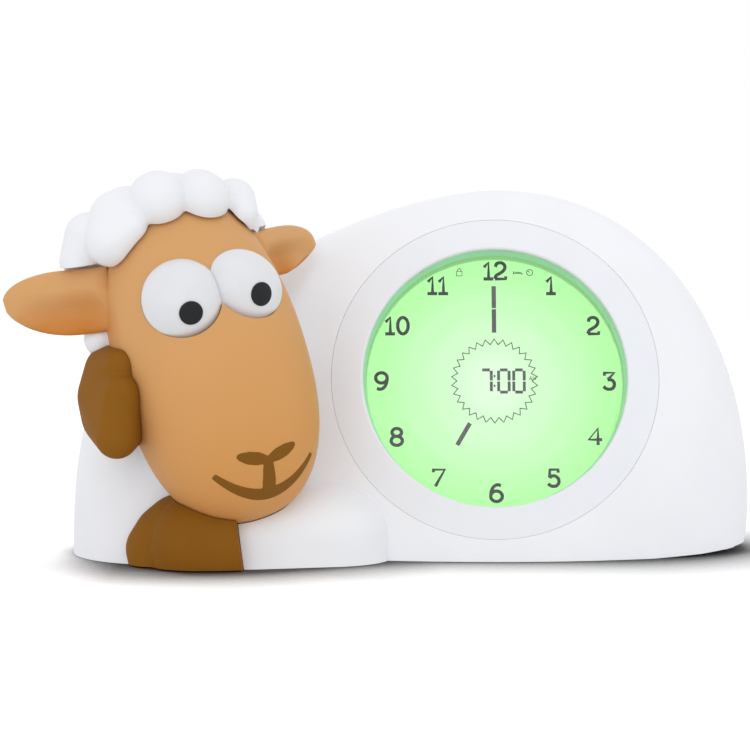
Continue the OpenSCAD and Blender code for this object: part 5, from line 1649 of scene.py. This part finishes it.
# The frame's own pieces that show or stay inside, by their finish
FITTINGS = {
    "shell": ("base_plate", "battery_door"),
    "rubber": ("rubber_feet",),
    "steel": (
        "base_screws", "case_screws", "gimbal_ring", "carrier_screws", "board_screws", "speaker_frame",
        "door_screw", "battery_contacts", "usb_socket", "cap_spring",
    ),
    "inner_plastic": ("dial_carrier", "board_posts", "cap_stem", "cap_guide", "neck_tube", "neck_nut"),
    "dark_plastic": ("switch_domes", "chips", "switch_body", "switch_knob", "cap_switch"),
    "board": ("led_board", "switch_board", "main_board", "head_board"),
    "lens": ("display_lens",),
    "lcd": ("lcd_panel",),
    "segment": ("lcd_segments",),
    "diffuser": ("diffuser",),
    "reflector": ("reflector",),
    "led": ("leds",),
    "cone": ("speaker_cone",),
    "magnet": ("speaker_magnet",),
    "cell": ("battery_cells",),
    "lead_red": ("speaker_lead",),
    "lead_black": ("battery_lead", "head_lead"),
}


class LAMB_OT_fittings(bpy.types.Operator):
    """Finishes of the frame's own pieces"""

    bl_idname = "lamb.fittings"
    bl_label = "Fittings"

    def execute(self, context):
        for paint, nodes in FITTINGS.items():
            for node in nodes:
                coat(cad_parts[node], paint)
        return {'FINISHED'}


# ---- Studio ----


FLOOR_R = 1.6
LAMP_SIZE = 1.2
KEY_PLACE = (0.2, -0.7, 1.3)
FILL_PLACE = (-0.35, -1.3, 0.2)
SENSOR_W = 36.0
# How much stronger the blue of the soft light is
SKY_BLUE = 1.02
# The painted shadow under the object, darkened from ambient occlusion: how far it reaches, and the openness
# at which it is full and gone
CONTACT_REACH = 0.055
CONTACT_RANGE = (0.5, 0.87)
# Painted light and shade on the shadow under the object, lighter to the left where the soft light comes from:
# how much lighter or darker the contact is along X
CONTACT_PAINTED_TILTS = ((0.16, 0.0, -0.112, -0.088), (0.0, -0.11, -0.02, 0.09))
FLOOR_WHITE = (0.88, 0.88, 0.88)
FLOOR_PAPER = (0.9, 0.9, 0.9)
FLOOR_PAINTED_SHADOW = (0.12, 0.12, 0.12)
FLOOR_GLOW = 0.32
PAPER_GRAIN = 0.05


class LAMB_OT_studio(bpy.types.Operator):
    """Floor, lights and camera"""

    bl_idname = "lamb.studio"
    bl_label = "Studio"

    def execute(self, context):
        studio = context.scene.lamb_studio
        context.scene.view_settings.view_transform = 'Standard'
        bm = bmesh.new()
        bmesh.ops.create_circle(bm, cap_ends=True, segments=96, radius=FLOOR_R)
        floor = new_piece("floor", bm)
        floor_finish()
        floor.data.materials.append(PAINTS["floor"])
        surroundings(studio.sky)
        target = Vector(studio.target)
        lamp("key_light", KEY_PLACE, target, studio.key_watts)
        lamp("fill_light", FILL_PLACE, target, studio.fill_watts)
        view = Vector((0, -math.cos(studio.elevation), math.sin(studio.elevation)))
        data = bpy.data.cameras.new("camera")
        data.lens = studio.focal
        data.sensor_width = SENSOR_W
        data.clip_start, data.clip_end = 0.05, 20.0
        context.scene.camera = aimed("camera", data, target + view * studio.distance, target)
        return {'FINISHED'}


def aimed(name, data, place, target):
    """A lamp or camera at a place, facing a target."""
    item = bpy.data.objects.new(name, data)
    bpy.context.collection.objects.link(item)
    item.location = place
    item.rotation_euler = (target - Vector(place)).to_track_quat('-Z', 'Y').to_euler()
    return item


def lamp(name, place, target, watts):
    """A soft square lamp that faces the object."""
    data = bpy.data.lights.new(name, 'AREA')
    data.shape = 'SQUARE'
    data.size = LAMP_SIZE
    data.energy = watts
    aimed(name, data, place, target)


def surroundings(sky):
    """White where it is seen, also through gloss and glass, and a plain soft light on the object."""
    world = bpy.data.worlds.new("studio")
    bpy.context.scene.world = world
    world.use_nodes = True
    nodes, links = world.node_tree.nodes, world.node_tree.links
    path = nodes.new('ShaderNodeLightPath')
    seen = path.outputs['Is Camera Ray']
    for name in ('Is Glossy Ray', 'Is Transmission Ray'):
        either = nodes.new('ShaderNodeMath')
        either.operation = 'MAXIMUM'
        links.new(seen, either.inputs[0])
        links.new(path.outputs[name], either.inputs[1])
        seen = either.outputs[0]
    choose = nodes.new('ShaderNodeMix')
    choose.data_type = 'RGBA'
    links.new(seen, choose.inputs[0])
    choose.inputs[6].default_value = (sky, sky, sky * SKY_BLUE, 1.0)
    choose.inputs[7].default_value = (1.0, 1.0, 1.0, 1.0)
    background = nodes["Background"]
    links.new(choose.outputs[2], background.inputs['Color'])
    background.inputs['Strength'].default_value = 1.0


def floor_finish():
    """Matt white floor that reads as white in the open, with a shadow painted from ambient occlusion where
    the object nearly touches it.
    """
    paint = NodePaint("floor")
    direct = paint.add('ShaderNodeLightPath').outputs['Is Camera Ray']
    near = paint.add('ShaderNodeAmbientOcclusion', samples=8)
    near.inputs['Distance'].default_value = CONTACT_REACH
    axes = paint.add('ShaderNodeSeparateXYZ')
    paint.links.new(paint.place, axes.inputs[0])
    openness = near.outputs['AO']
    for tilt in CONTACT_PAINTED_TILTS:
        openness = paint.reckon('ADD', openness, paint.spread(axes.outputs['X'], *tilt))
    open_share = paint.spread(openness, 0.0, 1.0, *CONTACT_RANGE)
    paper = paint.blend(paint.spread(paint.noise(PAPER_GRAIN), 0, 1), FLOOR_PAPER, FLOOR_WHITE)
    seen = paint.blend(open_share, FLOOR_PAINTED_SHADOW, paper)
    glow = paint.spread(open_share, 0.0, FLOOR_GLOW, 0.0, 1.0)
    paint.give(
        Base_Color=paint.blend(direct, FLOOR_WHITE, seen), Roughness=0.9, Specular_IOR_Level=0.0,
        Emission_Color=(1.0, 1.0, 1.0, 1.0), Emission_Strength=paint.reckon('MULTIPLY', direct, glow),
    )


# ---- The add-on's panel and its registering ----


class LAMB_PT_panel(bpy.types.Panel):
    """Pieces of the clock"""

    bl_label = "Lamb Clock"
    bl_idname = "LAMB_PT_panel"
    bl_space_type = 'VIEW_3D'
    bl_region_type = 'UI'
    bl_category = "Lamb Clock"

    def draw(self, context):
        column = self.layout.column()
        for operator in OPERATORS:
            column.operator(operator.bl_idname)


OPERATORS = (
    LAMB_OT_studio, LAMB_OT_shells, LAMB_OT_display, LAMB_OT_head, LAMB_OT_wool, LAMB_OT_ears, LAMB_OT_hooves,
    LAMB_OT_fittings,
)
GROUPS = {
    "lamb_body": LambBodySizes, "lamb_display": LambDisplaySizes, "lamb_head": LambHeadSizes,
    "lamb_finishes": LambFinishes, "lamb_studio": LambStudio,
}


def register():
    """Registers the clock's classes and its sizes and colours on the scene."""
    for group in (*GROUPS.values(), *OPERATORS, LAMB_PT_panel):
        bpy.utils.register_class(group)
    for name, group in GROUPS.items():
        setattr(bpy.types.Scene, name, PointerProperty(type=group))


def unregister():
    """Takes back what register does."""
    for name in GROUPS:
        delattr(bpy.types.Scene, name)
    for group in (LAMB_PT_panel, *reversed(OPERATORS), *GROUPS.values()):
        bpy.utils.unregister_class(group)


def main():
    """Makes every piece in order."""
    register()
    bpy.ops.lamb.studio()
    bpy.ops.lamb.shells()
    bpy.ops.lamb.display()
    bpy.ops.lamb.head()
    bpy.ops.lamb.wool()
    bpy.ops.lamb.ears()
    bpy.ops.lamb.hooves()
    bpy.ops.lamb.fittings()


if __name__ == "__main__":
    main()
